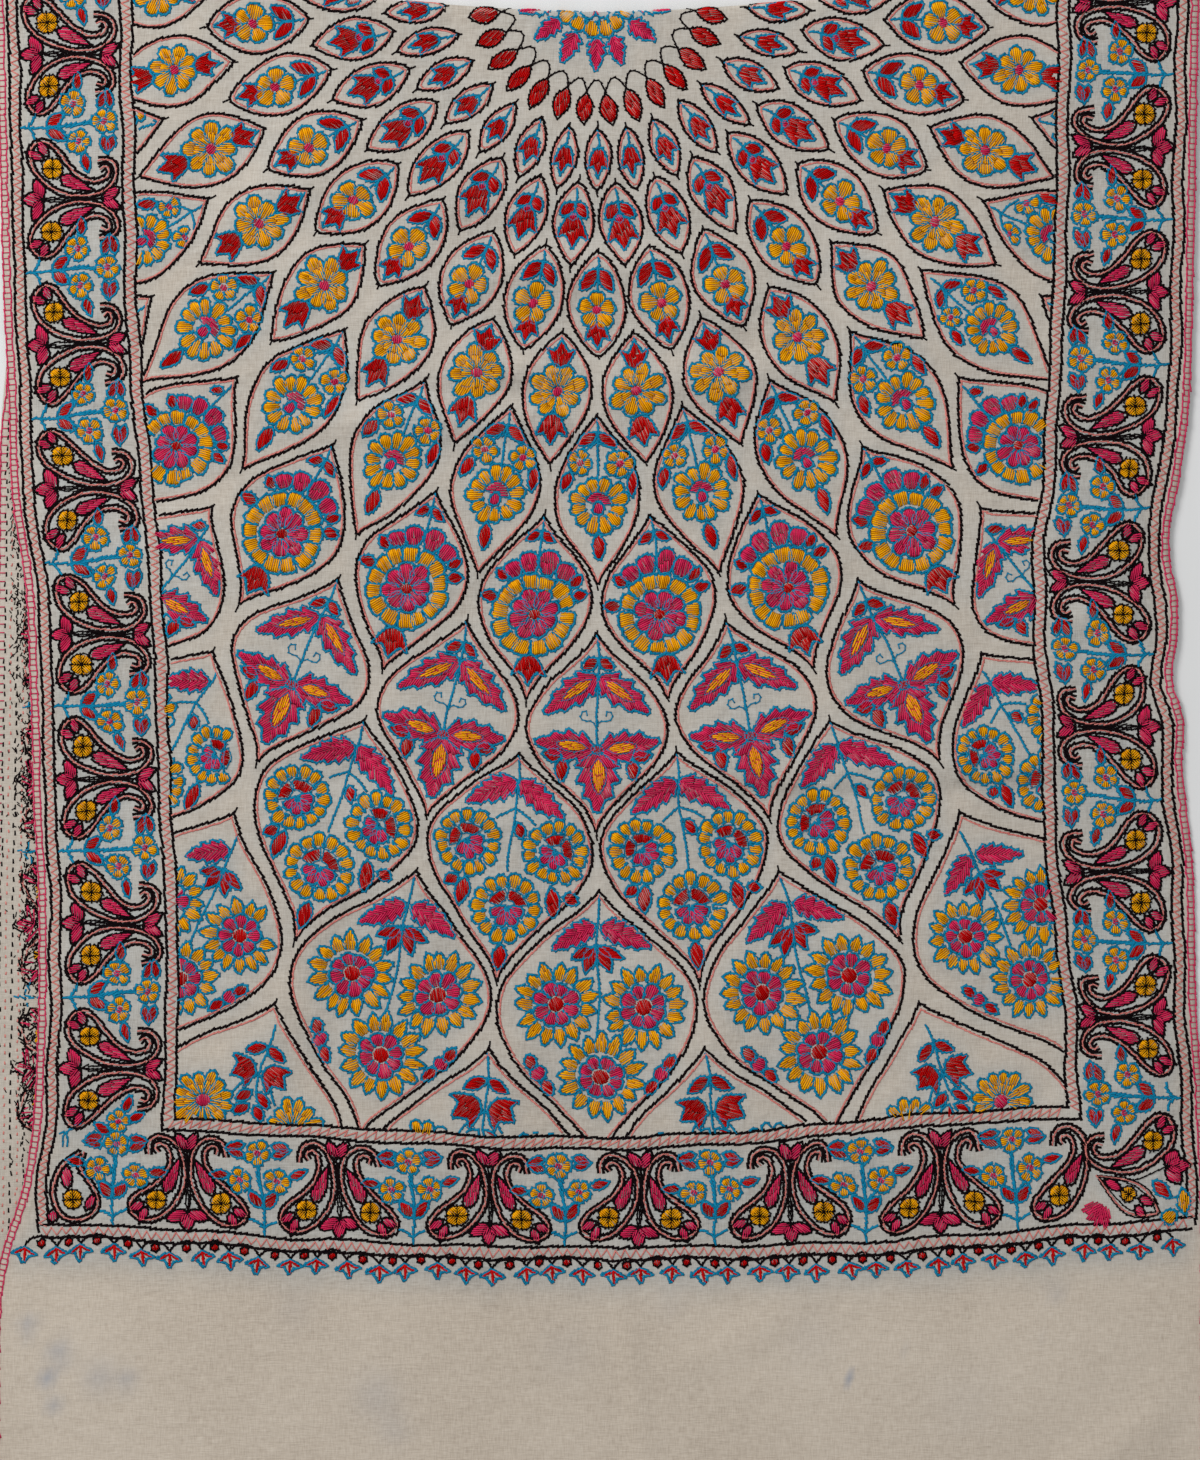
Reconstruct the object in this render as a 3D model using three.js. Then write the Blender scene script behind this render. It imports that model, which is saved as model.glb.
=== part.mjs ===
// An embroidered wool stole, folded once across the middle of its length and laid flat, worked side up.
// Millimetres. +X runs across the cloth, +Y points at the fold, +Z is up, and the stole rests on Z = 0.
// Both halves are walls of the one cloth: the upper half shows whole, and takes the fold with it down to
// the floor; the under half shows as a strip along the left edge.
import * as THREE from "three";

// The whole cloth, laid out flat
const CLOTH_WIDTH = 700;
const CLOTH_LENGTH = 2000;
const CLOTH_THICK = 1.2;
const HALF_LENGTH = CLOTH_LENGTH / 2;

// The fold: a soft loop, a little lower in the middle of the width than at its two ends
const FOLD_HEIGHT = 5.4;
const FOLD_SPREAD = 24; // distance over which the loop settles to the flat stack
const FOLD_DIP = 27; // how far the middle of the fold lies below its ends
const FOLD_DIP_ROUNDING = 0.15; // 0 is a sharp V
const FOLD_DIP_REACH = 300; // the dip has died away this far down the cloth
const FOLD_RADIUS = FOLD_HEIGHT / 2;

// How the halves lie on each other
const LAYER_GAP = 0.3;
const SEAM_GAP = 0.6; // along the floor, where the fold meets the under half
const UPPER_REST = CLOTH_THICK + LAYER_GAP; // underside of the upper half on the under half
const UNDER_HALF_LONGER = 4; // the under half's end shows by this much
const TUCK_CLEARANCE = 2; // the upper half goes on level this far past the under half's right edge
const TUCK_WIDTH = 9; // and slopes down only where at least this much width is left
const DROP_RUN = 4; // reaching the floor where it has this much more

// The worked part swells a little, and the plain end lies nearly flat
const WORKED_END = 730; // distance from the fold to the end of the embroidery
const WORKED_LOFT = 1.7;
const PLAIN_LOFT = 0.35;
const LOFT_CHANGE = 40; // distance over which one becomes the other
const EDGE_SETTLE = 34; // the loft dies away over this distance from an edge
const COCKLE_HEIGHT = 0.6; // small waves that the stitches draw up
const COCKLE = { across: 21, down: 24, driftAcross: 39, driftDown: 34 }; // their lengths over 2 pi
const LIFT_SOFTNESS = 0.35; // rounds the places where a trough meets the layer below

// How far each long edge of the upper half is drawn in by its stitches from the flat cloth's edge.
// down: distance below the middle of the fold
const UPPER_EDGES = [
  { down: -30, left: 2, right: 5 },
  { down: 165, left: 7, right: 9 },
  { down: 225, left: 10, right: 11 },
  { down: 270, left: 11, right: 17 },
  { down: 295, left: 14, right: 22 },
  { down: 317, left: 18, right: 22 },
  { down: 335, left: 20, right: 18 },
  { down: 361, left: 21.5, right: 18 },
  { down: 384, left: 22, right: 21 },
  { down: 407, left: 23, right: 14 },
  { down: 430, left: 23.5, right: 15 },
  { down: 453, left: 24, right: 13 },
  { down: 488, left: 26, right: 9 },
  { down: 511, left: 27, right: 8 },
  { down: 568, left: 27, right: 7 },
  { down: 626, left: 25, right: 3 },
  { down: 654, left: 22, right: 1.5 },
  { down: 683, left: 16, right: 0.5 },
  { down: 706, left: 8, right: 0 },
  { down: 729, left: 3, right: 0 },
  { down: 760, left: 0.5, right: 0 },
  { down: 1010, left: 0, right: 0 },
];

// The same for the under half, which lies askew: a negative number is past the flat cloth's edge.
const UNDER_EDGES = [
  { down: -30, left: 2, right: 5 },
  { down: 165, left: 8.5, right: 16 },
  { down: 222, left: 8, right: 22 },
  { down: 236, left: 5.5, right: 23 },
  { down: 281, left: 4.4, right: 28 },
  { down: 396, left: 2.7, right: 28 },
  { down: 568, left: -0.2, right: 25 },
  { down: 683, left: -1.3, right: 9 },
  { down: 730, left: -2.5, right: 5 },
  { down: 1010, left: -6, right: 7 },
];

// The largest folds of the upper half: soft ridges, and troughs where the height is negative.
// Each runs from (x, down) to (toX, toDown); width is the reach to either side.
const FOLDS = [
  { x: -52, down: 148, toX: 36, toDown: 146, width: 12, height: 2.6 },
  { x: -92, down: 128, toX: 64, toDown: 127, width: 8, height: -1.6 },
  { x: -118, down: 182, toX: 58, toDown: 181, width: 9, height: -1.9 },
  { x: -96, down: 128, toX: -66, toDown: 82, width: 12, height: 1.5 },
  { x: -62, down: 204, toX: -24, toDown: 206, width: 9, height: 2.0 },
  { x: 24, down: 214, toX: 68, toDown: 212, width: 12, height: 2.3 },
  { x: 84, down: 209, toX: 132, toDown: 204, width: 10, height: 1.9 },
  { x: -150, down: 236, toX: -36, toDown: 235, width: 9, height: 1.9 },
  { x: -186, down: 216, toX: -30, toDown: 220, width: 6, height: -1.2 },
  { x: -18, down: 228, toX: -6, toDown: 268, width: 5, height: -1.5 },
  { x: 24, down: 196, toX: 82, toDown: 192, width: 6, height: -1.5 },
  { x: 70, down: 172, toX: 168, toDown: 186, width: 13, height: 1.2 },
  { x: -60, down: 290, toX: 20, toDown: 292, width: 12, height: -0.9 },
  { x: -214, down: 120, toX: -160, toDown: 84, width: 16, height: 1.3 },
  { x: 96, down: 108, toX: 196, toDown: 150, width: 18, height: 0.9 },
  { x: -178, down: 440, toX: -28, toDown: 436, width: 9, height: -1.5 },
  { x: -120, down: 462, toX: -20, toDown: 466, width: 12, height: 1.3 },
  { x: 0, down: 455, toX: 252, toDown: 446, width: 5, height: -1.3 },
  { x: 20, down: 440, toX: 256, toDown: 431, width: 12, height: 1.3 },
  { x: -150, down: 380, toX: -96, toDown: 330, width: 20, height: 1.1 },
  { x: -156, down: 478, toX: -128, toDown: 500, width: 8, height: -1.1 },
  { x: -8, down: 560, toX: 8, toDown: 626, width: 9, height: -1.2 },
  { x: -60, down: 590, toX: -36, toDown: 500, width: 18, height: 0.8 },
  { x: 60, down: 610, toX: 96, toDown: 520, width: 18, height: 0.9 },
  { x: -178, down: 560, toX: -150, toDown: 500, width: 14, height: 1.0 },
  { x: 210, down: 560, toX: 246, toDown: 500, width: 14, height: 0.9 },
  { x: 268, down: 290, toX: 332, toDown: 304, width: 9, height: 1.6 },
  { x: 262, down: 348, toX: 334, toDown: 352, width: 8, height: 1.2 },
  { x: 268, down: 324, toX: 330, toDown: 328, width: 7, height: -1.2 },
  { x: 266, down: 388, toX: 332, toDown: 390, width: 7, height: -1.0 },
  { x: 1, down: 716, toX: 20, toDown: 828, width: 7, height: -0.9 },
  { x: 8, down: 716, toX: 32, toDown: 900, width: 8, height: 1.5 },
  { x: 34, down: 900, toX: 40, toDown: 985, width: 10, height: 1.0 },
  { x: 52, down: 778, toX: 106, toDown: 752, width: 7, height: 0.9 },
  { x: 246, down: 834, toX: 312, toDown: 780, width: 12, height: -0.9 },
  { x: 258, down: 850, toX: 330, toDown: 802, width: 14, height: 1.4 },
  { x: -236, down: 880, toX: -96, toDown: 930, width: 18, height: 1.3 },
  { x: 90, down: 940, toX: 250, toDown: 900, width: 16, height: 1.1 },
];

// How finely the walls are divided
const LEVEL_COLUMNS = 37;
const TUCK_COLUMNS = 3; // the columns past the under half's right edge
const WORKED_ROWS = 48;
const PLAIN_ROWS = 11;
const FOLD_ROWS = 6; // round the half turn
const UNDER_COLUMNS = 20;
const UNDER_ROWS = 30;

const cloth = new THREE.MeshStandardMaterial({ color: 0xb6ac9d, roughness: 0.92, metalness: 0 });
const clothWrongSide = new THREE.MeshStandardMaterial({ color: 0xb3a89a, roughness: 0.95, metalness: 0 });

// A column of a table at any distance down the cloth, on a smooth curve through the rows.
function readTable(rows, column, down) {
  const last = rows.length - 1;
  let k = 0;
  while (k < last - 1 && rows[k + 1].down < down) k += 1;
  const slope = (i) => {
    const a = rows[Math.max(i - 1, 0)];
    const b = rows[Math.min(i + 1, last)];
    return (b[column] - a[column]) / (b.down - a.down);
  };
  const span = rows[k + 1].down - rows[k].down;
  const t = THREE.MathUtils.clamp((down - rows[k].down) / span, 0, 1);
  const s = 1 - t;
  return (
    rows[k][column] * s * s * (1 + 2 * t) +
    rows[k + 1][column] * t * t * (1 + 2 * s) +
    (slope(k) * s - slope(k + 1) * t) * s * t * span
  );
}

// The sides of one half at a distance down the cloth.
function sidesAt(edges, down) {
  return {
    left: readTable(edges, "left", down) - CLOTH_WIDTH / 2,
    right: CLOTH_WIDTH / 2 - readTable(edges, "right", down),
  };
}

// The true distance down of a point that lies `along` from the fold, at x across the cloth.
function downAt(along, x) {
  const across = (2 * x) / CLOTH_WIDTH;
  const blunt = FOLD_DIP_ROUNDING;
  const rise = (Math.hypot(across, blunt) - blunt) / (Math.hypot(1, blunt) - blunt);
  const left = Math.max(0, 1 - along / FOLD_DIP_REACH);
  return along - FOLD_DIP * rise * left * left;
}

// One ridge or trough's height at a point.
function foldHeight(fold, x, down) {
  const runX = fold.toX - fold.x;
  const runDown = fold.toDown - fold.down;
  const length = Math.hypot(runX, runDown);
  const along = ((x - fold.x) * runX + (down - fold.down) * runDown) / length;
  const aside = ((x - fold.x) * runDown - (down - fold.down) * runX) / length;
  const past = Math.max(0, -along, along - length);
  return fold.height * Math.exp(-((aside / fold.width) ** 2) - (past / (2 * fold.width)) ** 2);
}

// How high the upper half stands above the layer it lies on.
function liftAt(x, down, sides) {
  const plain = THREE.MathUtils.smoothstep(down, WORKED_END - LOFT_CHANGE, WORKED_END);
  const loft = THREE.MathUtils.lerp(WORKED_LOFT, PLAIN_LOFT, plain);
  const cockle =
    Math.sin(x / COCKLE.across + Math.sin(down / COCKLE.driftDown)) *
    Math.sin(down / COCKLE.down + Math.sin(x / COCKLE.driftAcross));
  const folds = FOLDS.reduce((sum, fold) => sum + foldHeight(fold, x, down), 0);
  const fromEdge = Math.min(x - sides.left, sides.right - x, HALF_LENGTH - down);
  const settle = THREE.MathUtils.smoothstep(fromEdge, 0, EDGE_SETTLE);
  const height = (loft + COCKLE_HEIGHT * (1 - plain) * cockle + folds) * settle;
  return (height + Math.hypot(height, LIFT_SOFTNESS) - LIFT_SOFTNESS) / 2;
}

// Where a column of the upper half lies across the cloth, and how far it has dropped to the floor there.
function upperColumn(column, down) {
  const sides = sidesAt(UPPER_EDGES, down);
  const overhang = sides.right - sidesAt(UNDER_EDGES, down).right - TUCK_CLEARANCE;
  const level = sides.right - Math.max(overhang, TUCK_WIDTH);
  if (column <= LEVEL_COLUMNS) {
    return { x: THREE.MathUtils.lerp(sides.left, level, column / LEVEL_COLUMNS), drop: 0, sides };
  }
  const out = (column - LEVEL_COLUMNS) / TUCK_COLUMNS;
  const room = THREE.MathUtils.clamp((overhang - TUCK_WIDTH) / DROP_RUN, 0, 1);
  const drop = UPPER_REST * room * THREE.MathUtils.smoothstep(out, 0, 1);
  return { x: THREE.MathUtils.lerp(level, sides.right, out), drop, sides };
}

// The same for the under half, which is level all over.
function underColumn(column, down) {
  const sides = sidesAt(UNDER_EDGES, down);
  return THREE.MathUtils.lerp(sides.left, sides.right, column / UNDER_COLUMNS);
}

// Distances from the fold of the upper half's rows, free end first, the fold's own line last.
function upperRows() {
  const rows = [];
  for (let k = 0; k < PLAIN_ROWS; k += 1) {
    rows.push(THREE.MathUtils.lerp(HALF_LENGTH, WORKED_END, k / PLAIN_ROWS));
  }
  for (let k = 0; k <= WORKED_ROWS; k += 1) {
    rows.push(THREE.MathUtils.lerp(WORKED_END, FOLD_RADIUS, k / WORKED_ROWS));
  }
  return rows;
}

// A point of the upper half's outer face (layer 0) or inner face (layer 1) at a row before the half turn.
function upperPoint(column, along, layer) {
  const down = downAt(along, upperColumn(column, along).x);
  const { x, drop, sides } = upperColumn(column, down);
  const loop = FOLD_HEIGHT - UPPER_REST - CLOTH_THICK;
  const rise = loop * Math.exp(-(((along - FOLD_RADIUS) / FOLD_SPREAD) ** 2));
  const lift = liftAt(x, down, sides) * THREE.MathUtils.smoothstep(along, FOLD_RADIUS, 2 * FOLD_SPREAD);
  const inner = UPPER_REST + rise + lift - drop;
  return new THREE.Vector3(x, -down, layer === 0 ? inner + CLOTH_THICK : inner);
}

// A point of the half turn, from the top of the fold (turn 0) to the floor (turn 1).
function turnPoint(column, turn, layer) {
  const top = upperPoint(column, FOLD_RADIUS, 0);
  const radius = layer === 0 ? top.z / 2 : top.z / 2 - CLOTH_THICK;
  const angle = Math.PI * turn;
  return new THREE.Vector3(
    top.x,
    top.y + radius * Math.sin(angle),
    top.z / 2 + radius * Math.cos(angle),
  );
}

// A closed wall from a grid of points given for its outer and its inner face.
function wallGeometry(columns, rows, pointAt) {
  const positions = [];
  for (const layer of [0, 1]) {
    for (let j = 0; j <= rows; j += 1) {
      for (let i = 0; i <= columns; i += 1) positions.push(...pointAt(i, j, layer).toArray());
    }
  }
  const perRow = columns + 1;
  const perLayer = perRow * (rows + 1);
  const index = [];
  const quad = (a, b, c, d) => index.push(a, b, c, a, c, d);
  for (let j = 0; j < rows; j += 1) {
    for (let i = 0; i < columns; i += 1) {
      const a = j * perRow + i;
      quad(a, a + 1, a + 1 + perRow, a + perRow);
      quad(perLayer + a, perLayer + a + perRow, perLayer + a + 1 + perRow, perLayer + a + 1);
    }
  }
  for (let i = 0; i < columns; i += 1) {
    const end = rows * perRow + i;
    quad(i, i + perLayer, i + 1 + perLayer, i + 1);
    quad(end, end + 1, end + 1 + perLayer, end + perLayer);
  }
  for (let j = 0; j < rows; j += 1) {
    const left = j * perRow;
    const right = left + columns;
    quad(left, left + perRow, left + perRow + perLayer, left + perLayer);
    quad(right, right + perLayer, right + perRow + perLayer, right + perRow);
  }
  const geometry = new THREE.BufferGeometry();
  geometry.setAttribute("position", new THREE.Float32BufferAttribute(positions, 3));
  geometry.setIndex(index);
  geometry.computeVertexNormals();
  return geometry;
}

// The half that shows whole, with the fold: rows run from its free end up to the fold and round it.
function makeUpperHalf() {
  const distances = upperRows();
  const straight = distances.length - 1;
  const pointAt = (i, j, layer) =>
    j <= straight
      ? upperPoint(i, distances[j], layer)
      : turnPoint(i, (j - straight) / FOLD_ROWS, layer);
  const geometry = wallGeometry(LEVEL_COLUMNS + TUCK_COLUMNS, straight + FOLD_ROWS, pointAt);
  const mesh = new THREE.Mesh(geometry, cloth);
  mesh.name = "upper_half";
  return mesh;
}

// The half beneath, flat on the floor, wrong side up.
function makeUnderHalf() {
  const start = FOLD_RADIUS + SEAM_GAP;
  const end = HALF_LENGTH + UNDER_HALF_LONGER;
  const pointAt = (i, j, layer) => {
    const along = THREE.MathUtils.lerp(end, start, j / UNDER_ROWS);
    const down = downAt(along, underColumn(i, along));
    return new THREE.Vector3(underColumn(i, down), -down, layer === 0 ? CLOTH_THICK : 0);
  };
  const mesh = new THREE.Mesh(wallGeometry(UNDER_COLUMNS, UNDER_ROWS, pointAt), clothWrongSide);
  mesh.name = "under_half";
  return mesh;
}

// The origin is the middle of the stack's box, on the floor.
function centreOnFloor(meshes) {
  const box = new THREE.Box3();
  meshes.forEach((mesh) => box.expandByObject(mesh));
  const middle = box.getCenter(new THREE.Vector3());
  meshes.forEach((mesh) => mesh.geometry.translate(-middle.x, -middle.y, -box.min.z));
}

const stole = new THREE.Group();
stole.name = "embroidered_stole";
stole.add(makeUpperHalf(), makeUnderHalf());
centreOnFloor(stole.children);

export default stole;
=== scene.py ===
"""An embroidered wool stole, folded once across its length and laid flat, worked side up.

The cloth is one thin shell on the form of the two solids. Every stitch on it is a small closed loaf of
yarn. Motifs are worked out in millimetres on the cloth, as (x, down), where x runs across from the centre
line and down is the distance below the middle of the fold.
"""
import math
from functools import partial
import bpy
import numpy as np
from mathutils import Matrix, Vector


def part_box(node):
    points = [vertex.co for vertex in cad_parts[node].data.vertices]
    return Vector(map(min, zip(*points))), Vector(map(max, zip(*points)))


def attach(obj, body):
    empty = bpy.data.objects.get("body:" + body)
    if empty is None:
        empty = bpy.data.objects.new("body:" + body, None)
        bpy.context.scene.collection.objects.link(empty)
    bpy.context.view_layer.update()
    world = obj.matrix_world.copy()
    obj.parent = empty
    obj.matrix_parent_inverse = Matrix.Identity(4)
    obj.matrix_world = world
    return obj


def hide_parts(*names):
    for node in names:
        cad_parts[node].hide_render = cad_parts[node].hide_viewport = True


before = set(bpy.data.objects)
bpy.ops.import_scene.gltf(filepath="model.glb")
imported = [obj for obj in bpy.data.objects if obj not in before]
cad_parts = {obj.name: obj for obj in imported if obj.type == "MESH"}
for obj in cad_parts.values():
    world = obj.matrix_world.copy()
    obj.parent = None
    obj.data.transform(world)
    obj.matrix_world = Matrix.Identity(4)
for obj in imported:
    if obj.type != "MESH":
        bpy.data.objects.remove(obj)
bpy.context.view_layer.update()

MM = 0.001
RNG = np.random.default_rng(11)
TAU = 2 * math.pi

# The cloth, as its solids have it, in millimetres
CLOTH_WIDTH = 700
HALF_LENGTH = 1000
CLOTH_THICK = 1.2
FOLD_HEIGHT = 5.4
FOLD_SPREAD = 24
FOLD_DIP = 27
FOLD_DIP_ROUNDING = 0.15
FOLD_DIP_REACH = 300
FOLD_RADIUS = FOLD_HEIGHT / 2
UPPER_REST = 1.5
UNDER_HALF_LONGER = 4
TUCK_CLEARANCE = 2
TUCK_WIDTH = 9
DROP_RUN = 4
WORKED_END = 730
WORKED_LOFT = 1.7
PLAIN_LOFT = 0.35
LOFT_CHANGE = 40
EDGE_SETTLE = 34
COCKLE_HEIGHT = 0.6
PUCKER_HEIGHT = 0.3  # of the small puckers that the stitching draws up
COCKLE = {"across": 21, "down": 24, "drift_across": 39, "drift_down": 34}
LIFT_SOFTNESS = 0.35
LEVEL_ROUNDS = 12  # of working back from a distance down to a distance from the fold
DIP_LIMIT = 1.05  # of the dip's share, where the fold turns under

# How far each long edge is drawn in from the flat cloth's edge: down, left, right
UPPER_EDGES = np.array([
    (-30, 2, 5), (165, 7, 9), (225, 10, 11), (270, 11, 17), (295, 14, 22), (317, 18, 22), (335, 20, 18),
    (361, 21.5, 18), (384, 22, 21), (407, 23, 14), (430, 23.5, 15), (453, 24, 13), (488, 26, 9),
    (511, 27, 8), (568, 27, 7), (626, 25, 3), (654, 22, 1.5), (683, 16, 0.5), (706, 8, 0), (729, 3, 0),
    (760, 0.5, 0), (1010, 0, 0)])
UNDER_EDGES = np.array([
    (-30, 2, 5), (165, 8.5, 16), (222, 8, 22), (236, 5.5, 23), (281, 4.4, 28), (396, 2.7, 28),
    (568, -0.2, 25), (683, -1.3, 9), (730, -2.5, 5), (1010, -6, 7)])
LEFT, RIGHT = 1, 2

# Ridges and troughs of the upper half: x, down, to x, to down, reach to either side, height
FOLDS = [
    (-52, 148, 36, 146, 12, 2.6), (-92, 128, 64, 127, 8, -1.6), (-118, 182, 58, 181, 9, -1.9),
    (-96, 128, -66, 82, 12, 1.5), (-62, 204, -24, 206, 9, 2.0), (24, 214, 68, 212, 12, 2.3),
    (84, 209, 132, 204, 10, 1.9), (-150, 236, -36, 235, 9, 1.9), (-186, 216, -30, 220, 6, -1.2),
    (-18, 228, -6, 268, 5, -1.5), (24, 196, 82, 192, 6, -1.5), (70, 172, 168, 186, 13, 1.2),
    (-60, 290, 20, 292, 12, -0.9), (-214, 120, -160, 84, 16, 1.3), (96, 108, 196, 150, 18, 0.9),
    (-178, 440, -28, 436, 9, -1.5), (-120, 462, -20, 466, 12, 1.3), (0, 455, 252, 446, 5, -1.3),
    (20, 440, 256, 431, 12, 1.5), (-150, 380, -96, 330, 20, 1.1), (-156, 478, -128, 500, 8, -1.1),
    (-8, 560, 8, 626, 9, -1.2), (-60, 590, -36, 500, 18, 0.8), (60, 610, 96, 520, 18, 0.9),
    (-178, 560, -150, 500, 14, 1.0), (210, 560, 246, 500, 14, 0.9), (268, 290, 332, 304, 9, 1.6),
    (262, 348, 334, 352, 8, 1.2), (268, 324, 330, 328, 7, -1.2), (266, 388, 332, 390, 7, -1.0),
    (1, 716, 20, 828, 7, -0.9), (8, 716, 32, 900, 8, 1.5), (34, 900, 40, 985, 10, 1.0),
    (52, 778, 106, 752, 7, 0.9), (246, 834, 312, 780, 12, -0.9), (258, 850, 330, 802, 14, 1.4),
    (-236, 880, -96, 930, 18, 1.3), (90, 940, 250, 900, 16, 1.1)]
CREASE_GAIN = 1.45  # the soft cloth's creases are a little deeper than the solids' ridges and troughs

# Where the cloth's centre line and the middle of its fold lie in the frame
UPPER_LOW = np.array(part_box("upper_half")[0]) / MM
CENTRE_X = UPPER_LOW[0] + CLOTH_WIDTH / 2
FOLD_Y = UPPER_LOW[1] + HALF_LENGTH


def smoothstep(value, low, high):
    t = np.clip((value - low) / (high - low), 0, 1)
    return t * t * (3 - 2 * t)


def paired(x, down):
    """Rows of (x, down)."""
    return np.stack(np.broadcast_arrays(x, down), axis=-1)


def unit(vectors):
    return vectors / np.maximum(np.hypot(*vectors.T), 1e-9)[:, None]


def left_of(along):
    return paired(-along[:, 1], along[:, 0])


def rotated(u, v, angle):
    """Points turned by an angle from the x axis towards down."""
    cos, sin = math.cos(angle), math.sin(angle)
    return paired(u * cos - v * sin, u * sin + v * cos)


def headings(angle):
    """Unit vectors at angles from the second axis towards the first."""
    return paired(np.sin(angle), np.cos(angle))


def curve_through(table, column, at):
    """A smooth curve through the rows of a table, whose first column is the position."""
    where, what = table[:, 0], table[:, column]
    slope = np.empty(len(where))
    slope[1:-1] = (what[2:] - what[:-2]) / (where[2:] - where[:-2])
    slope[0] = (what[1] - what[0]) / (where[1] - where[0])
    slope[-1] = (what[-1] - what[-2]) / (where[-1] - where[-2])
    k = np.clip(np.searchsorted(where, at, side="left") - 1, 0, len(where) - 2)
    span = where[k + 1] - where[k]
    t = np.clip((at - where[k]) / span, 0, 1)
    s = 1 - t
    ends = what[k] * s * s * (1 + 2 * t) + what[k + 1] * t * t * (1 + 2 * s)
    return ends + (slope[k] * s - slope[k + 1] * t) * s * t * span


def side_left(edges, down):
    return curve_through(edges, LEFT, down) - CLOTH_WIDTH / 2


def side_right(edges, down):
    return CLOTH_WIDTH / 2 - curve_through(edges, RIGHT, down)


def dip_at(x):
    """How far above its middle the fold lies at x."""
    across = 2 * x / CLOTH_WIDTH
    blunt = FOLD_DIP_ROUNDING
    return FOLD_DIP * (np.hypot(across, blunt) - blunt) / (math.hypot(1, blunt) - blunt)


def down_at(along, x):
    return along - dip_at(x) * np.maximum(0, 1 - along / FOLD_DIP_REACH) ** 2


def along_at(down, x):
    """The distance from the fold of a point at a distance down: down_at the other way round."""
    along = down + 0.0
    for _ in range(LEVEL_ROUNDS):
        along = down + dip_at(x) * np.clip(1 - along / FOLD_DIP_REACH, 0, DIP_LIMIT) ** 2
    return along


def pucker_at(x, down):
    """Uneven waves about 30 to 50 mm apart that cross each other."""
    first = np.sin((x + 0.6 * down) / 6.3 + 2.1 * np.sin(down / 21 + x / 33))
    second = np.sin((0.8 * x - down) / 7.1 + 2.2 * np.sin(x / 18 - down / 27))
    return first * (0.7 + 0.3 * np.sin(down / 13)) + second * (0.7 + 0.3 * np.sin(x / 15))


def lift_at(x, down):
    """How high the upper half stands above the layer that it lies on."""
    plain = smoothstep(down, WORKED_END - LOFT_CHANGE, WORKED_END)
    height = WORKED_LOFT + (PLAIN_LOFT - WORKED_LOFT) * plain
    height = height + COCKLE_HEIGHT * (1 - plain) * (
        np.sin(x / COCKLE["across"] + np.sin(down / COCKLE["drift_down"]))
        * np.sin(down / COCKLE["down"] + np.sin(x / COCKLE["drift_across"])))
    height = height + PUCKER_HEIGHT * (1 - plain) * pucker_at(x, down)
    for from_x, from_down, to_x, to_down, reach, rise in FOLDS:
        run_x, run_down = to_x - from_x, to_down - from_down
        length = math.hypot(run_x, run_down)
        along = ((x - from_x) * run_x + (down - from_down) * run_down) / length
        aside = ((x - from_x) * run_down - (down - from_down) * run_x) / length
        past = np.maximum(0, np.maximum(-along, along - length))
        height = height + CREASE_GAIN * rise * np.exp(-(aside / reach) ** 2 - (past / (2 * reach)) ** 2)
    left, right = side_left(UPPER_EDGES, down), side_right(UPPER_EDGES, down)
    from_edge = np.minimum(np.minimum(x - left, right - x), HALF_LENGTH - down)
    height = height * smoothstep(from_edge, 0, EDGE_SETTLE)
    return (height + np.hypot(height, LIFT_SOFTNESS) - LIFT_SOFTNESS) / 2


def drop_at(x, down):
    """How far the upper half has come down to the floor past the under half's right edge."""
    right = side_right(UPPER_EDGES, down)
    overhang = right - side_right(UNDER_EDGES, down) - TUCK_CLEARANCE
    level = right - np.maximum(overhang, TUCK_WIDTH)
    room = np.clip((overhang - TUCK_WIDTH) / DROP_RUN, 0, 1)
    return UPPER_REST * room * smoothstep((x - level) / (right - level), 0, 1)


def upper_outer(x, along):
    """Height of the upper half's worked face."""
    down = down_at(along, x)
    loop = FOLD_HEIGHT - UPPER_REST - CLOTH_THICK
    rise = loop * np.exp(-((along - FOLD_RADIUS) / FOLD_SPREAD) ** 2)
    lift = lift_at(x, down) * smoothstep(along, FOLD_RADIUS, 2 * FOLD_SPREAD)
    return UPPER_REST + CLOTH_THICK + rise + lift - drop_at(x, down)


def on_upper(x, down, above):
    """Places points on the worked face, and round the half turn past the fold's line, with their normals."""
    along = along_at(down, x)
    flat = np.maximum(along, FOLD_RADIUS)
    top = upper_outer(x, flat)
    radius = top / 2
    turn = np.clip((FOLD_RADIUS - along) / radius, 0, math.pi)
    y = -down_at(flat, x) + (radius + above) * np.sin(turn)
    z = radius + (radius + above) * np.cos(turn)
    normal = np.stack([np.zeros_like(x), np.sin(turn), np.cos(turn)], axis=-1)
    return np.stack([x + CENTRE_X, y + FOLD_Y, z], axis=-1), normal


def on_under(x, down, above):
    """Places points on the under half's wrong side."""
    normal = np.zeros(x.shape + (3,))
    normal[..., 2] = 1
    z = np.full_like(x, CLOTH_THICK) + above
    return np.stack([x + CENTRE_X, FOLD_Y - down, z], axis=-1), normal


# Materials

WOOL = {"dark": (0.4, 0.332, 0.262), "mid": (0.503, 0.43, 0.347), "light": (0.586, 0.511, 0.422)}
DYE_TINT_AND_PAINTED_SHADE = (0.71, 0.855, 1.02, 1)  # what the wool takes from the yarns' dyes in the borders, with painted shade: it also darkens the ground where the stitches crowd and shade it
STAIN_COLOUR = (0.24, 0.27, 0.33, 1)
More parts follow.
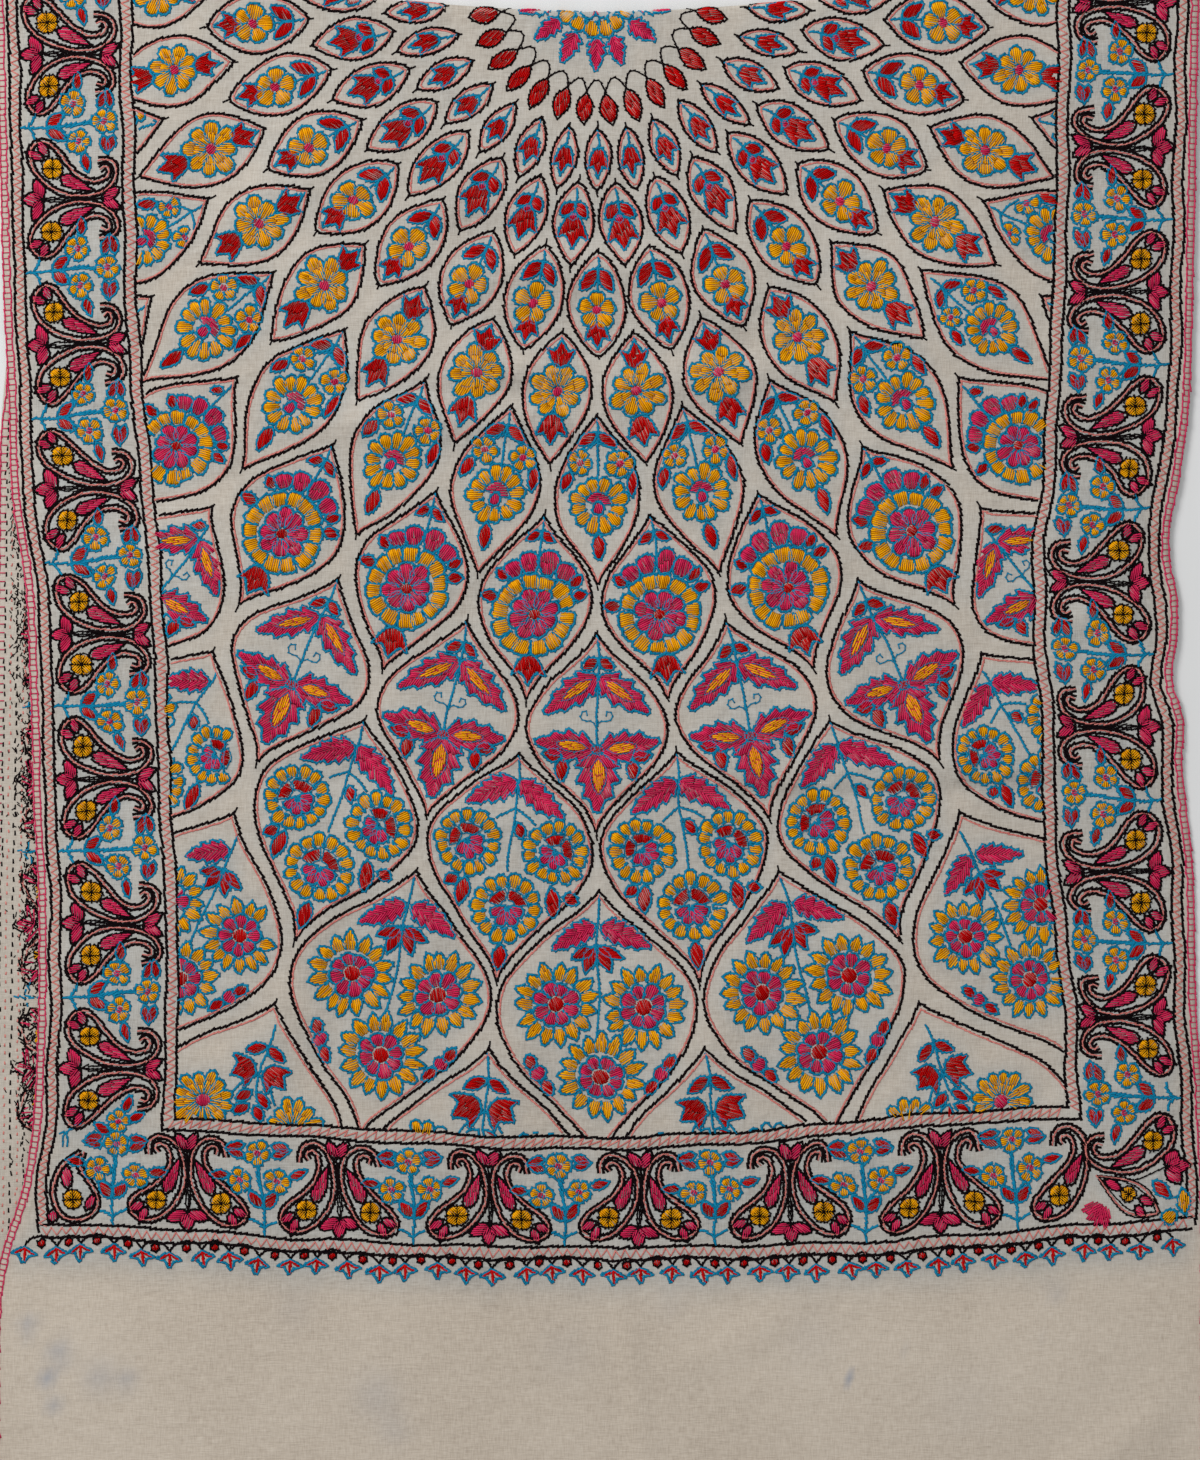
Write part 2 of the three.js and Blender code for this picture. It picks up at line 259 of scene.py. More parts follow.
# Noise features per metre along x, y and z
WARP, WEFT, SLUBS = (1500, 170, 60), (170, 1500, 60), (45, 700, 20)
FIBRES = 1400
WOOL_BUMP = 0.0011  # metres
YARN_BUMP = 0.0003
# Dark and light ends of each yarn's colour, between which its random tone and its painted shade and light run
YARN_COLOURS = {
    "black": ((0.0012, 0.0006, 0.0008), (0.008, 0.004, 0.005)),
    "salmon": ((0.42, 0.09, 0.08), (0.74, 0.27, 0.23)),
    "crimson": ((0.42, 0.01, 0.06), (0.7, 0.06, 0.15)),
    "blue": ((0.001, 0.1, 0.2), (0.008, 0.25, 0.42)),
    "yellow": ((0.5, 0.15, 0.001), (1.0, 0.5, 0.005)),
    "red": ((0.22, 0.0005, 0.0008), (0.68, 0.004, 0.004)),
    "magenta": ((0.28, 0.003, 0.03), (0.82, 0.035, 0.13)),
}
GLOSSY_YARNS = ("yellow", "red", "magenta")
GLOSSY_ROUGHNESS, MATT_ROUGHNESS = 0.5, 0.75
FLOOR_COLOURS = ((0.3, (0.68, 0.68, 0.67)), (0.7, (0.705, 0.705, 0.695)))


def new_material(name, roughness, sheen=0.0, specular=0.5):
    material = bpy.data.materials.new(name)
    material.use_nodes = True
    shader = material.node_tree.nodes["Principled BSDF"]
    shader.inputs["Roughness"].default_value = roughness
    shader.inputs["Sheen Weight"].default_value = sheen
    shader.inputs["Specular IOR Level"].default_value = specular
    return material, material.node_tree, shader


def add_node(tree, kind, **settings):
    node = tree.nodes.new(kind)
    for name, value in settings.items():
        if name in node.inputs:
            node.inputs[name].default_value = value
        else:
            setattr(node, name, value)
    return node


def mapped_noise(tree, scale, stretch=(1, 1, 1), detail=2.0):
    """Noise over object coordinates, in features per metre along each axis."""
    coordinates = add_node(tree, "ShaderNodeTexCoord")
    mapping = add_node(tree, "ShaderNodeMapping")
    mapping.inputs["Scale"].default_value = stretch
    noise = add_node(tree, "ShaderNodeTexNoise", Scale=scale, Detail=detail)
    tree.links.new(coordinates.outputs["Object"], mapping.inputs["Vector"])
    tree.links.new(mapping.outputs["Vector"], noise.inputs["Vector"])
    return noise.outputs["Fac"]


def colour_ramp(tree, factor, stops):
    ramp = add_node(tree, "ShaderNodeValToRGB")
    elements = ramp.color_ramp.elements
    while len(elements) < len(stops):
        elements.new(0.5)
    for element, (place, colour) in zip(elements, stops):
        element.position = place
        element.color = (*colour, 1)
    tree.links.new(factor, ramp.inputs["Fac"])
    return ramp.outputs["Color"]


def feed(tree, socket, value):
    """Links a socket to a value that another node puts out, or sets it."""
    if hasattr(value, "is_linked"):
        tree.links.new(value, socket)
    else:
        socket.default_value = value


def mix_colours(tree, factor, first, second, blend="MIX"):
    mix = add_node(tree, "ShaderNodeMix", data_type="RGBA", blend_type=blend)
    for name, value in (("Factor", factor), ("A", first), ("B", second)):
        feed(tree, mix.inputs[name], value)
    return mix.outputs["Result"]


def combine(tree, operation, first, second):
    node = add_node(tree, "ShaderNodeMath", operation=operation)
    for socket, value in zip(node.inputs, (first, second)):
        feed(tree, socket, value)
    return node.outputs["Value"]


def weighted(tree, first, weight, second, other_weight):
    """The sum of two values, each times its weight."""
    first = combine(tree, "MULTIPLY", first, weight)
    return combine(tree, "ADD", first, combine(tree, "MULTIPLY", second, other_weight))


def point_value(tree, name):
    return add_node(tree, "ShaderNodeAttribute", attribute_name=name).outputs["Fac"]


def add_bump(tree, shader, height, distance):
    bump = add_node(tree, "ShaderNodeBump", Strength=1.0, Distance=distance)
    tree.links.new(height, bump.inputs["Height"])
    tree.links.new(bump.outputs["Normal"], shader.inputs["Normal"])


def wool_material():
    """Fine plain weave: warp and weft yarns of uneven thickness, a little uneven in colour."""
    material, tree, shader = new_material("wool_cloth", 0.92, sheen=0.12, specular=0.2)
    warp, weft = (mapped_noise(tree, 1.0, stretch, 1.0) for stretch in (WARP, WEFT))
    slubs = combine(tree, "MULTIPLY", mapped_noise(tree, 1.0, SLUBS), 0.45)
    weave = combine(tree, "ADD", combine(tree, "ADD", warp, weft), slubs)
    cloud = mapped_noise(tree, 9.0, detail=3.0)
    tone = weighted(tree, combine(tree, "MULTIPLY", weave, 0.408), 0.75, cloud, 0.25)
    colour = colour_ramp(tree, tone, ((0.34, WOOL["dark"]), (0.5, WOOL["mid"]), (0.66, WOOL["light"])))
    # the worked attribute: the yarns' dyes round dense stitching, with painted shade there
    worked = point_value(tree, "worked")
    dyed_and_shaded = mix_colours(tree, worked, colour, DYE_TINT_AND_PAINTED_SHADE, "MULTIPLY")
    stained = mix_colours(tree, point_value(tree, "stain"), dyed_and_shaded, STAIN_COLOUR)
    tree.links.new(stained, shader.inputs["Base Color"])
    cockle = mapped_noise(tree, 80.0, detail=2.5)
    drawn_in = combine(tree, "ADD", combine(tree, "MULTIPLY", worked, 1.6), 0.6)
    add_bump(tree, shader, weighted(tree, weave, 0.12, cockle, drawn_in), WOOL_BUMP)
    return material


def yarn_material(colour):
    dark, light = YARN_COLOURS[colour]
    roughness = GLOSSY_ROUGHNESS if colour in GLOSSY_YARNS else MATT_ROUGHNESS
    material, tree, shader = new_material("yarn_" + colour, roughness, specular=0.04)
    fibre = mapped_noise(tree, FIBRES)
    # the shade attribute: each stitch's random tone, with painted shade at its corners and painted light on
    # its ridge
    tone = weighted(tree, point_value(tree, "shade"), 0.65, fibre, 0.35)
    tree.links.new(colour_ramp(tree, tone, ((0.15, dark), (0.85, light))), shader.inputs["Base Color"])
    add_bump(tree, shader, fibre, YARN_BUMP)
    return material


# Mesh making

def mesh_object(name, points, faces, material):
    """An object from points in millimetres and faces, a list of index arrays with one row a face."""
    mesh = bpy.data.meshes.new(name)
    counts = np.concatenate([np.full(len(f), f.shape[1], dtype=np.int32) for f in faces])
    corners = np.concatenate([f.ravel() for f in faces]).astype(np.int32)
    mesh.vertices.add(len(points))
    mesh.vertices.foreach_set("co", (np.asarray(points) * MM).astype(np.float32).ravel())
    mesh.loops.add(len(corners))
    mesh.loops.foreach_set("vertex_index", corners)
    mesh.polygons.add(len(counts))
    starts = np.concatenate([[0], np.cumsum(counts)[:-1]])
    mesh.polygons.foreach_set("loop_start", starts.astype(np.int32))
    mesh.polygons.foreach_set("use_smooth", np.full(len(counts), True))
    mesh.update(calc_edges=True)
    mesh.validate()
    mesh.materials.append(material)
    piece = bpy.data.objects.new(name, mesh)
    bpy.context.scene.collection.objects.link(piece)
    return piece


def add_values(piece, name, values):
    attribute = piece.data.attributes.new(name, "FLOAT", "POINT")
    attribute.data.foreach_set("value", np.asarray(values, dtype=np.float32))


# The cloth

CLOTH_COLUMNS = 176
WORKED_ROWS = 190
PLAIN_ROWS = 34
TURN_ROWS = 8
UNDER_ROWS = 30

# Faint marks on the plain end: x, down, radius, strength
STAINS = [
    (-329, 756, 5, 0.5), (-311, 772, 7, 0.45), (-318, 786, 5, 0.6), (-288, 785, 9, 0.3), (-272, 787, 6, 0.35),
    (-314, 801, 5, 0.4), (-128, 796, 13, 0.2), (-118, 815, 9, 0.16), (-20, 770, 16, 0.08),
    (120, 762, 18, 0.07), (262, 735, 6, 0.22), (-176, 745, 12, 0.1), (40, 742, 10, 0.1), (210, 800, 20, 0.06),
    (143, 785.5, 1.3, 0.7), (174, 770.5, 1.1, 0.7), (253, 762, 1.2, 0.6), (320, 774, 1.3, 0.6)]
# The yarns' dyes in the ground round the stitches, with painted shade, darker the denser they are
DYE_SHADE_STEP = 5.0
DYE_SHADE_GRID = ((-360, 360), (-60, 760))  # across and down
DYE_SHADE_FROM = {"blue": 1.0, "black": 0.8, "magenta_satin": 0.3}
DYE_SHADE_FULL = 4.9  # weighted stitches in a square of DYE_SHADE_STEP where the cloth has taken the most of the yarns' dyes and painted shade
DYE_SHADE_SPREAD = 7.0
DYE_SHADE_POWER = 0.6  # below 1, so that a few stitches count for more than their share
WRONG_SIDE_DYE = 0.25


def stain_at(x, down):
    total = np.zeros_like(x)
    for spot_x, spot_down, radius, strength in STAINS:
        wobble = 1 + 0.35 * np.sin(x / 3.1 + spot_x) * np.cos(down / 2.7)
        total += strength * np.exp(-(((x - spot_x) ** 2 + (down - spot_down) ** 2) * wobble) / radius ** 2)
    return np.clip(total, 0, 1)


def dye_and_shade_at(x, down):
    """How much of the yarns' dyes the cloth has taken, with painted shade: more the denser the stitches are
    round a point.
    """
    edges = [np.arange(low, high + 1, DYE_SHADE_STEP) for low, high in DYE_SHADE_GRID]
    total = np.zeros([len(edge) - 1 for edge in edges])
    for yarn, weight in DYE_SHADE_FROM.items():
        rows = np.vstack(STITCHES[yarn])
        middle = (rows[:, 0:2] + rows[:, 2:4]) / 2
        total += weight * np.histogram2d(middle[:, 0], middle[:, 1], bins=edges)[0]
    kernel = np.exp(-(np.arange(-3, 4) * DYE_SHADE_STEP / DYE_SHADE_SPREAD) ** 2)
    for axis in (0, 1):
        total = np.apply_along_axis(np.convolve, axis, total, kernel / kernel.sum(), "same")
    u = np.clip((x - edges[0][0]) / DYE_SHADE_STEP - 0.5, 0, total.shape[0] - 1.001)
    v = np.clip((down - edges[1][0]) / DYE_SHADE_STEP - 0.5, 0, total.shape[1] - 1.001)
    i, j = u.astype(int), v.astype(int)
    s, t = u - i, v - j
    near = total[i, j] * (1 - s) * (1 - t) + total[i + 1, j] * s * (1 - t)
    far = total[i, j + 1] * (1 - s) * t + total[i + 1, j + 1] * s * t
    return np.clip((near + far) / DYE_SHADE_FULL, 0, 1) ** DYE_SHADE_POWER


def cloth_points():
    """Grids of the cloth's outer and inner face: up the upper half, round the fold, along the under half."""
    share = np.linspace(0, 1, CLOTH_COLUMNS + 1)[None, :]
    rows = np.concatenate([
        np.linspace(HALF_LENGTH, WORKED_END, PLAIN_ROWS, endpoint=False),
        np.linspace(WORKED_END, FOLD_RADIUS, WORKED_ROWS + 1)])[:, None]

    def placed(edges, along):
        x = side_left(edges, along) * (1 - share) + side_right(edges, along) * share
        down = down_at(along, x)
        x = side_left(edges, down) * (1 - share) + side_right(edges, down) * share
        return x, down

    x, down = placed(UPPER_EDGES, rows)
    top = upper_outer(x, np.broadcast_to(rows, x.shape))
    outer = [np.stack([x, -down, top], axis=-1)]
    inner = [np.stack([x, -down, top - CLOTH_THICK], axis=-1)]
    turn = np.linspace(0, math.pi, TURN_ROWS + 1)[1:, None]
    last_x, last_y, last_top = x[-1:], -down[-1:], top[-1:]
    for grids, radius in ((outer, last_top / 2), (inner, last_top / 2 - CLOTH_THICK)):
        grids.append(np.stack([
            np.broadcast_to(last_x, (TURN_ROWS, CLOTH_COLUMNS + 1)),
            last_y + radius * np.sin(turn), last_top / 2 + radius * np.cos(turn)], axis=-1))
    rows = np.linspace(FOLD_RADIUS, HALF_LENGTH + UNDER_HALF_LONGER, UNDER_ROWS + 1)[1:, None]
    x, down = placed(UNDER_EDGES, rows)
    outer.append(np.stack([x, -down, np.zeros_like(x)], axis=-1))
    inner.append(np.stack([x, -down, np.full_like(x, CLOTH_THICK)], axis=-1))
    return np.concatenate(outer), np.concatenate(inner)


def wall_faces(rows, columns):
    """Quads of a closed wall: outer face, inner face and the rim between them."""
    index = np.arange(rows * columns).reshape(rows, columns)
    under = index + rows * columns

    def quads(a, b, c, d):
        return np.stack([a.ravel(), b.ravel(), c.ravel(), d.ravel()], axis=1)

    return np.concatenate([
        quads(index[:-1, :-1], index[:-1, 1:], index[1:, 1:], index[1:, :-1]),
        quads(under[:-1, :-1], under[1:, :-1], under[1:, 1:], under[:-1, 1:]),
        quads(index[0, :-1], under[0, :-1], under[0, 1:], index[0, 1:]),
        quads(index[-1, :-1], index[-1, 1:], under[-1, 1:], under[-1, :-1]),
        quads(index[:-1, 0], index[1:, 0], under[1:, 0], under[:-1, 0]),
        quads(index[:-1, -1], under[:-1, -1], under[1:, -1], index[1:, -1])])


def make_cloth():
    outer, inner = cloth_points()
    local = np.concatenate([outer.reshape(-1, 3), inner.reshape(-1, 3)])
    x, down = local[:, 0], -local[:, 1]
    faces = wall_faces(*outer.shape[:2])
    cloth = mesh_object("stole_cloth", local + (CENTRE_X, FOLD_Y, 0), [faces], wool_material())
    add_values(cloth, "stain", stain_at(x, down))
    # the yarns' dyes round the stitches, with painted shade where they crowd; an even share on the wrong side
    dye_and_shade = dye_and_shade_at(x, down)
    dye_and_shade[local[:, 2] < UPPER_REST] = WRONG_SIDE_DYE
    add_values(cloth, "worked", dye_and_shade)
    return cloth


# Yarn: stitches are collected as rows of x, down, to x, to down, width, height, lift

STITCHES = {}
SATIN_SPACING = {"yellow": 1.15, "magenta": 1.15, "red": 0.98}
SATIN_LONGEST = 11.0
SATIN_SHORTEST = 0.7
SATIN_COVER = 1.14  # width of its stitches as a share of their spacing
SATIN_HEIGHT = 0.75
LINE_WIDTH = 1.5
LINE_PITCH = 2.6
LINE_HEIGHT = 0.6
LINE_ASKEW = 0.2  # of the width, to either side
LINE_OVERLAP = 0.24  # of the pitch, at either end
OUTLINE_WIDTH = 2.15

# Half outlines of petals from the base to the tip: share of the width, share of the length
PETALS = {
    "round": [(0.2, 0), (0.42, 0.3), (0.5, 0.68), (0.36, 0.93), (0.12, 1.0)],
    "square": [(0.36, 0), (0.46, 0.5), (0.5, 0.82), (0.36, 1.0)],
    "pointed": [(0.32, 0), (0.5, 0.34), (0.34, 0.7), (0.04, 1.0)],
}
PETAL_WIDEST = {"round": 0.66, "square": 0.72, "pointed": 0.34}
TULIP = np.array([
    (0, 0), (0.26, 0.06), (0.42, 0.28), (0.62, 0.7), (0.3, 0.58), (0.16, 0.76), (0.0, 1.0),
    (-0.16, 0.76), (-0.3, 0.58), (-0.62, 0.7), (-0.42, 0.28), (-0.26, 0.06)])
LEAF_SLANT = 0.55


def lay(yarn, start, end, width, height=LINE_HEIGHT, lift=0.0, keep=None):
    """Collects stitches, only those whose middle is where keep says, if it is given."""
    start, end = np.atleast_2d(start), np.atleast_2d(end)
    if keep is not None:
        chosen = keep((start + end) / 2)
        start, end = start[chosen], end[chosen]
    if len(start):
        extra = np.broadcast_to([width, height, lift], (len(start), 3))
        STITCHES.setdefault(yarn, []).append(np.hstack([start, end, extra]))


def resample(points, pitch, closed):
    """Points at even steps along a line."""
    points = np.asarray(points, dtype=float)
    if closed:
        points = np.vstack([points, points[:1]])
    steps = np.hypot(*np.diff(points, axis=0).T)
    distance = np.concatenate([[0], np.cumsum(steps)])
    count = max(2, int(round(distance[-1] / pitch)) + 1)
    at = np.linspace(0, distance[-1], count)
    return np.stack([np.interp(at, distance, points[:, k]) for k in (0, 1)], axis=1)


def smooth_line(points, steps=6):
    """A Catmull-Rom curve through points."""
    p = np.asarray(points, dtype=float)
    p = np.vstack([2 * p[:1] - p[1:2], p, 2 * p[-1:] - p[-2:-1]])
    t = np.linspace(0, 1, steps, endpoint=False)[:, None]
    pieces = []
    for a, b, c, d in zip(p[:-3], p[1:-2], p[2:-1], p[3:]):
        pieces.append(0.5 * (2 * b + (c - a) * t + (2 * a - 5 * b + 4 * c - d) * t ** 2
                             + (3 * b - a - 3 * c + d) * t ** 3))
    return np.vstack(pieces + [p[-2:-1]])


def offset_line(points, distance):
    """A line moved sideways, to its left as (x, down) is drawn on paper with down upwards."""
    return points + distance * left_of(unit(np.gradient(points, axis=0)))


def stem_stitch(yarn, points, width=LINE_WIDTH, pitch=LINE_PITCH, closed=False, wobble=0.16,
                height=LINE_HEIGHT, keep=None):
    """Overlapping stitches along a line, each a little askew, as hand stem stitch is."""
    p = resample(points, pitch, closed)
    start, end = p[:-1], p[1:]
    along = unit(end - start)
    side = left_of(along)
    askew = LINE_ASKEW * width
    reach = LINE_OVERLAP * pitch
    noise = RNG.normal(0, wobble, (len(start), 2))
    start = start - along * reach + side * (askew + noise[:, :1])
    end = end + along * reach - side * (askew + noise[:, 1:])
    lay(yarn, start, end, width, height, keep=keep)


def satin(yarn, outline, angle, inset=0.15, lift=0.1, keep=None):
    """Parallel stitches that fill an outline, running at an angle from the x axis towards down."""
    spacing = SATIN_SPACING[yarn]
    cos, sin = math.cos(angle), math.sin(angle)
    outline = np.asarray(outline, dtype=float)
    u = outline @ (cos, sin)
    v = outline @ (-sin, cos)
    u2, v2 = np.roll(u, -1), np.roll(v, -1)
    low, high = v.min(), v.max()
    count = max(1, int(round((high - low) / spacing)))
    rows = low + (np.arange(count) + 0.5) * (high - low) / count
    spans = []
    for row in rows:
        crossing = (v <= row) != (v2 <= row)
        if crossing.sum() < 2:
            continue
        slope = (u2 - u)[crossing]
        cuts = np.sort(u[crossing] + (row - v[crossing]) / (v2[crossing] - v[crossing]) * slope)
        for a, b in zip(cuts[::2], cuts[1::2]):
            a, b = a + inset + RNG.uniform(-0.2, 0.25), b - inset - RNG.uniform(-0.2, 0.25)
            if b - a < SATIN_SHORTEST:
                continue
            parts = int(math.ceil((b - a) / SATIN_LONGEST))
            edges = np.linspace(a, b, parts + 1)
            edges[1:-1] += RNG.uniform(-1, 1, parts - 1)
            spans.extend((edges[k], edges[k + 1], row + RNG.normal(0, 0.06)) for k in range(parts))
    if not spans:
        return
    first, last, row = np.array(spans).T
    tilt = RNG.normal(0, 0.08, len(row))
    start, end = rotated(first, row - tilt, angle), rotated(last, row + tilt, angle)
    lay(yarn + "_satin", start, end, spacing * SATIN_COVER, SATIN_HEIGHT, lift, keep)


class Spot:
    """A place and direction on the cloth. Local points are (across, along), in millimetres."""

    def __init__(self, x, down, angle=0.0, flip=1, keep=None, size=1.0, room=None):
        self.x, self.down, self.angle, self.flip = x, down, angle, flip
        self.keep, self.size, self.room = keep, size, room

    def at(self, points):
        points = np.atleast_2d(np.asarray(points, dtype=float)) * self.size
        across, along = points[:, 0] * self.flip, points[:, 1]
        cos, sin = math.cos(self.angle), math.sin(self.angle)
        return paired(self.x + across * cos + along * sin, self.down - across * sin + along * cos)

    def inner(self, across, along, angle=0.0):
        """A spot within this one, turned by an angle from its along axis towards its across axis."""
        (x, down), = self.at((across, along))
        return Spot(x, down, self.angle + angle * self.flip, self.flip, self.keep, self.size, self.room)

    def fits(self, points):
        """Whether most of a shape lies where there is room for it."""
        return self.room is None or self.room(self.at(points)).mean() > 0.8

    def stem(self, yarn, points, **style):
        stem_stitch(yarn, self.at(points), keep=self.keep, **style)

    def fill(self, yarn, points, lean=0.0, **style):
        """Satin stitch along this spot's along axis, leant over to one side."""
        angle = math.pi / 2 - self.angle - lean * self.flip
        satin(yarn, self.at(points), angle, keep=self.keep, **style)


def outline(spot, points, yarn="blue", width=OUTLINE_WIDTH):
    """The jagged line of small stitches round a motif."""
    spot.stem(yarn, points, width=width, pitch=2.5, closed=True, wobble=0.3, height=0.7)


def mirrored(right, shared=0):
    """An outline from its right half, whose first and last points may lie on the middle line."""
    left = right * (-1, 1)
    return np.vstack([right, left[shared:len(left) - shared][::-1]])


def lens(length, width, blunt=0.85, widest=0.45, steps=8):
    """A leaf shape along the along axis, pointed at both ends; a smaller blunt rounds it."""
    t = np.linspace(0, 1, steps)
    power = math.log(0.5) / math.log(widest)
    half = width / 2 * np.sin(math.pi * t ** power) ** blunt
    return mirrored(paired(half, t * length), 1)


def petal(kind, length, width):
    return mirrored(np.array(PETALS[kind]) * (width, length))


def shape(spot, points, yarn, lean=0.0, line="blue", line_width=OUTLINE_WIDTH):
    """A filled and outlined motif."""
    if not spot.fits(points):
        return
    spot.fill(yarn, points, lean)
    centre = np.mean(points, axis=0)
    reach = np.hypot(*(points - centre).T).mean()
    outline(spot, centre + (points - centre) * (1 + 0.5 / reach), line, line_width)


def leaf(spot, length, width, lean=0.4):
    shape(spot, lens(length, width), "red", lean)


def leaves(spot, *rows):
    """Leaves within a spot, from rows of across, along, turn, length, width."""
    for across, along, turn, length, width in rows:
        leaf(spot.inner(across, along, turn), length, width)


def leaf_pair(spot, angle, length, width):
    for side in (-1, 1):
        leaf(spot.inner(side * 0.6, 0, side * angle), length, width, 0.5 * side)


def blob(spot, length, width):
    shape(spot, petal("round", length, width), "magenta", 0.2)


def disc(spot, radius, yarn, lean=0.4, line="blue"):
    points = radius * headings(np.linspace(0, TAU, 9)[:-1])
    spot.fill(yarn, points, lean)
    if line:
        outline(spot, points * (1 + 0.5 / radius), line, 1.75)


def tulip(spot, length, width):
    """A small flower with three points, from its base along the along axis."""
    shape(spot, TULIP * (width, length), "red", 0.2)


def petal_ring(spot, inner, outer, count, kind="round", yarn="yellow", fill=0.84, phase=0.5):
    """Petals in a ring and a blue line that goes round each of them."""
    step = TAU / count
    rim = []
    for k in range(count):
        turned = spot.inner(0, 0, step * (k + phase) + RNG.normal(0, 0.03)).inner(0, inner)
        if not turned.fits(petal(kind, outer - inner, 1)):
            continue
        length = (outer - inner) * RNG.uniform(0.82, 1.08)
        widest = inner + (outer - inner) * PETAL_WIDEST[kind]
        width = 2 * widest * math.tan(step / 2) * fill * RNG.uniform(0.88, 1.06)
        turned.fill(yarn, petal(kind, length, width), RNG.uniform(-0.16, 0.16))
        half = petal(kind, length + 0.7, width + 1.0)[:len(PETALS[kind])]
        rim.extend((turned.at(half * (-1, 1)), turned.at(half[::-1])))
    if rim:
        stem_stitch("blue", np.vstack(rim), width=2.0, pitch=2.5, closed=True, wobble=0.32, height=0.75,
                    keep=spot.keep)


def small_flower(spot, radius):
    petal_ring(spot, radius * 0.3, radius, 5, fill=0.74, phase=RNG.uniform(0, 1))
    disc(spot, radius * 0.29, "magenta", line=None)


def jagged(length, width, teeth):
    """A toothed leaf shape along the along axis."""
    side = []
    for k in range(teeth):
        t0, t1 = (k + 0.1) / teeth, (k + 0.98) / teeth
        for t, grow in ((t0, 0.7), (t1, 1.18)):
            side.append((width / 2 * grow * math.sin(math.pi * min(t, 0.97) ** 0.7) ** 0.7, t * length))
    right = np.array(side)
    return np.vstack([[(0, 0)], right, [(0, length)], (right * (-1, 1))[::-1]])


def toothed_leaf(spot, length, width, vein=0.0, teeth=4):
    """A large toothed leaf: its stitches slant out from the middle, with a yellow vein where asked."""
    points = jagged(length, width, teeth)
    if not spot.fits(points):
        return
    middle = len(points) // 2
    inner_edge = np.array([(0.5, 0.5), (0.5, length * 0.97)])
    for half, way in ((points[1:middle + 1], -1), (points[middle:], 1)):
        closed = np.vstack([half, (inner_edge * (way, 1))[::way]])
        spot.fill("magenta", closed, -LEAF_SLANT * way, inset=0.0)
    outline(spot, points * (1.06, 1.02))
    if vein:
        place = spot.inner(0, length * 0.12)
        points = lens(length * vein, width * 0.3, 0.75)
        place.fill("yellow", points, 0.06, lift=0.45)
        place.stem("blue", points * (1.35, 1.06), width=1.0, pitch=2.8, closed=True, height=0.9)


def blue_line(spot, points, width=1.95):
    spot.stem("blue", smooth_line(points), width=width, wobble=0.15)


# The worked area's lines, in millimetres: the edges of the field and of the bands round it

FIELD_SIDES = np.array([
    (-30, -270, 264), (22, -269, 263), (108, -267, 262), (166, -266, 260), (223, -262, 257), (281, -256, 253),
    (309, -253.5, 249), (367, -249.5, 250), (424, -247.5, 255), (453, -246.7, 254), (511, -243, 259),
    (568, -242.6, 266), (626, -244, 268.5), (660, -244, 269)])
FIELD_BOTTOM = np.array([
    (-300, 633), (-244, 636), (-144, 641.5), (-60, 646), (0, 647), (92, 643), (150, 637), (230, 631),
    (300, 629)])
HEM_LINE = np.array([
    (-350, 697), (-288, 697.5), (-230, 701), (-172, 705), (-86, 709), (0, 710), (86, 709), (172, 706),
    (288, 696.5), (350, 693)])
BAND_WIDTH = 6.8
OUTER_BAND = (6.8, 12.8)  # distances of its two black lines from the cloth's edge
FIELD_MARGIN = 1.0


def field_end(x):
    return curve_through(FIELD_BOTTOM, 1, x)


def hem_at(x):
    return curve_through(HEM_LINE, 1, x)


def between_sides(points, margin=0.0):
    x, down = points[:, 0], points[:, 1]
    left, right = (curve_through(FIELD_SIDES, column, down) for column in (LEFT, RIGHT))
    return (x > left + margin) & (x < right - margin)


def in_field(points):
    return between_sides(points, FIELD_MARGIN) & (points[:, 1] < field_end(points[:, 0]) - FIELD_MARGIN)


# The field: leaf-shaped cells in rings round a medallion, each ring half a step round from the last

CENTRE = (-1.5, -10)
STEP = 12.75  # degrees between cells of a ring
STEP_DRIFT = 1.6  # the cells crowd a little towards the middle
DRIFT_CYCLE = 4.5
SIDE_FROM = 3  # steps from the centre line past which the cells crowd and stand further out
SIDE_CROWDING = 0.9
SIDE_SPREAD = 0.012
BUD_RING = {"inner": 57, "outer": 75, "width": 8.6}

# Radii of a ring's inner tips, widest places and outer tips, half a cell's width, and how round its inner
# and outer ends are
RING_COLUMNS = ("inner", "wide", "outer", "half", "in_round", "out_round")
RINGS = [dict(zip(RING_COLUMNS, row)) for row in (
    (77.6, 95, 114, 7.6, 0.72, 0.75),
    (109, 132, 157, 11.8, 0.7, 0.8),
    (148, 178, 209, 17, 0.75, 0.8),
    (195, 229, 272, 20.2, 0.9, 1.05),
    (242, 288, 341, 25, 1.05, 1.25),
    (301, 351, 408, 32.8, 1.15, 1.45),
    (368, 421, 483, 40.6, 1.3, 1.6),
    (438, 492, 572, 48.2, 1.15, 1.65),
    (515, 584, 669, 58, 1.2, 1.35),
    (609, 690, 790, 68, 1.2, 1.35))]
SALMON_INSET = 1.12  # how far a cell's salmon line lies inside its black one, more in the large cells
TIP_INSET = 1.9  # the same at the tips, as a share of it
CELL_STEPS = 13
MOST_STEPS = 7.5  # from the centre line to the last cell of a ring
CUT_SIZE = 0.9  # of a motif in a cell that is cut
CUT_SHIFT = 0.42  # how far such a motif moves towards the middle of what is left of the cell
ROOM_INSET = 2.0  # how far inside its outline the motif of a cut cell stays
FIT_COLUMNS, FIT_ROWS = 25, 41
MEDALLION = {"x": -2.9, "down": -9.8, "yellow": (15, 24.5), "magenta": (24.5, 43.5), "leaves": 14}
BUDS_A_SIDE = 8
LOOP_DEPTH = 7.5


